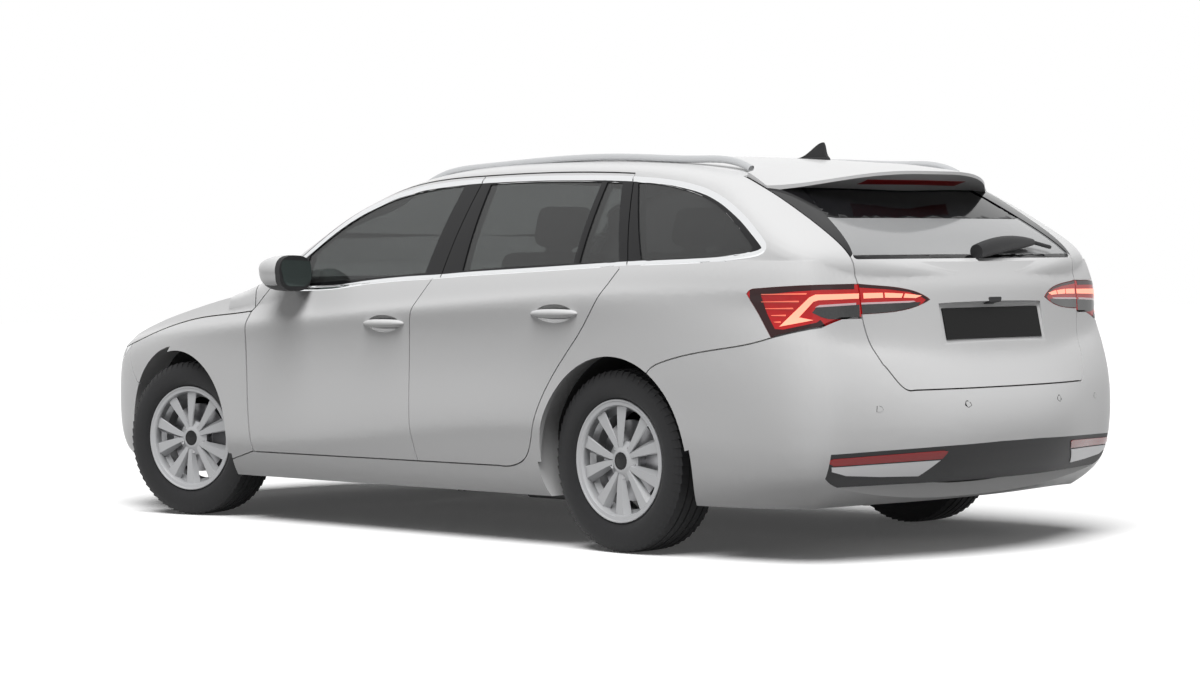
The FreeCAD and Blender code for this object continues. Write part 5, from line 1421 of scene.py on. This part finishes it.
@dataclass
class Studio:
    """A white room lit softly from above."""

    floor_half: float = 60.0
    ambient: float = 0.07
    sun_strength: float = 3.9
    sun_spread: float = 45.0
    sun_from: tuple[float, float, float] = (-0.38, 0.48, 1.22)
    fill_power: float = 25.0
    fill_size: float = 5.0
    floor_seen: float = 0.97
    floor_bounce: float = 0.10
    floor_glow: float = 0.05

    def build(self) -> None:
        """Make the floor, the world and the lamps."""
        self.world()
        self.floor()
        self.sun()
        self.fill((-7.5, 1.0, 1.6))

    def seen_ray(self, tree: bpy.types.NodeTree) -> bpy.types.NodeSocket:
        """A number that is one for rays that show the room, in view, gloss and glass.

        Args:
            tree: The node tree to build it in.

        Returns:
            The socket that gives it.
        """
        path = tree.nodes.new("ShaderNodeLightPath")
        first = tree.nodes.new("ShaderNodeMath")
        second = tree.nodes.new("ShaderNodeMath")
        first.operation = "MAXIMUM"
        second.operation = "MAXIMUM"
        tree.links.new(path.outputs["Is Camera Ray"], first.inputs[0])
        tree.links.new(path.outputs["Is Glossy Ray"], first.inputs[1])
        tree.links.new(first.outputs["Value"], second.inputs[0])
        tree.links.new(path.outputs["Is Transmission Ray"], second.inputs[1])
        return second.outputs["Value"]

    def world(self) -> None:
        """White all round, dimmer where it only lights the car."""
        world = bpy.data.worlds.new("studio")
        bpy.context.scene.world = world
        world.use_nodes = True
        tree = world.node_tree
        back = tree.nodes["Background"]
        back.inputs["Color"].default_value = (1.0, 1.0, 1.0, 1.0)
        strength = tree.nodes.new("ShaderNodeMix")
        strength.inputs["A"].default_value = self.ambient
        strength.inputs["B"].default_value = 1.0
        tree.links.new(self.seen_ray(tree), strength.inputs["Factor"])
        tree.links.new(strength.outputs["Result"], back.inputs["Strength"])

    def floor(self) -> None:
        """A large pale floor."""
        form = bmesh.new()
        bmesh.ops.create_grid(form, x_segments=1, y_segments=1, size=self.floor_half)
        mesh = taken(form)
        mesh.materials.append(self.floor_material())
        ground = bpy.data.objects.new("studio_floor", mesh)
        bpy.context.scene.collection.objects.link(ground)

    def floor_material(self) -> bpy.types.Material:
        """Matt white that meets the white background and keeps the car's shadow.

        Returns:
            The material.
        """
        made = bpy.data.materials.new("studio white")
        made.use_nodes = True
        tree = made.node_tree
        shader = tree.nodes["Principled BSDF"]
        color = tree.nodes.new("ShaderNodeMix")
        color.data_type = "RGBA"
        color.inputs["A"].default_value = (self.floor_bounce,) * 3 + (1.0,)
        color.inputs["B"].default_value = (self.floor_seen,) * 3 + (1.0,)
        tree.links.new(self.seen_ray(tree), color.inputs["Factor"])
        tree.links.new(color.outputs["Result"], shader.inputs["Base Color"])
        shader.inputs["Roughness"].default_value = 0.9
        shader.inputs["Specular IOR Level"].default_value = 0.0
        shader.inputs["Emission Color"].default_value = (1.0, 1.0, 1.0, 1.0)
        shader.inputs["Emission Strength"].default_value = self.floor_glow
        return made

    def sun(self) -> None:
        """The main light: very soft, from above and a little to the left."""
        light = bpy.data.lights.new("overhead", "SUN")
        light.energy = self.sun_strength
        light.angle = math.radians(self.sun_spread)
        lamp = bpy.data.objects.new("overhead", light)
        away = Vector(self.sun_from)
        lamp.matrix_world = away.to_track_quat("Z", "Y").to_matrix().to_4x4()
        lamp.visible_glossy = False
        bpy.context.scene.collection.objects.link(lamp)

    def fill(self, place: tuple[float, float, float]) -> None:
        """A soft square lamp that lifts the tail.

        Args:
            place: Where it stands, in metres.
        """
        light = bpy.data.lights.new("fill", "AREA")
        light.energy = self.fill_power
        light.size = self.fill_size
        lamp = bpy.data.objects.new("fill", light)
        away = Vector(place) - Vector((0.0, 0.0, 0.6))
        lamp.matrix_world = Matrix.Translation(Vector(place)) @ away.to_track_quat(
            "Z", "Y").to_matrix().to_4x4()
        bpy.context.scene.collection.objects.link(lamp)


@dataclass
class Viewpoint:
    """The camera that the photograph was taken with, fitted to the car's known sizes."""

    azimuth: float = 227.06
    elevation: float = 1.17
    roll: float = -0.89
    place: tuple[float, float, float] = (-8.35871, 7.57409, 0.9650)
    lens: float = 83.20
    film: float = 36.0

    def build(self) -> None:
        """Place the camera."""
        turn = math.radians(self.azimuth)
        lift = math.radians(self.elevation)
        tilt = math.radians(self.roll)
        back = Vector((math.sin(turn) * math.cos(lift), -math.cos(turn) * math.cos(lift),
                       math.sin(lift)))
        right = (-back).cross(Vector((0.0, 0.0, 1.0))).normalized()
        up = right.cross(-back)
        right_tilted = math.cos(tilt) * right + math.sin(tilt) * up
        up_tilted = -math.sin(tilt) * right + math.cos(tilt) * up
        lens = bpy.data.cameras.new("viewpoint")
        lens.lens = self.lens
        lens.sensor_width = self.film
        lens.clip_end = 500.0
        camera = bpy.data.objects.new("viewpoint", lens)
        axes = Matrix((right_tilted, up_tilted, back)).transposed().to_4x4()
        camera.matrix_world = Matrix.Translation(Vector(self.place)) @ axes
        bpy.context.scene.collection.objects.link(camera)
        bpy.context.scene.camera = camera


def main() -> None:
    """Build the car's looks, the studio and the camera in order."""
    logging.basicConfig(level=logging.INFO)
    bpy.context.scene.view_settings.view_transform = "Standard"
    for part in (Shell(), WindowTrim(), TailLamps(), Gate(), RearBumper(), Mirrors(),
                 Wheels(), Front(), Cabin(), Studio(), Viewpoint()):
        part.build()
        LOG.info("%s done", type(part).__name__)


if __name__ == "__main__":
    main()
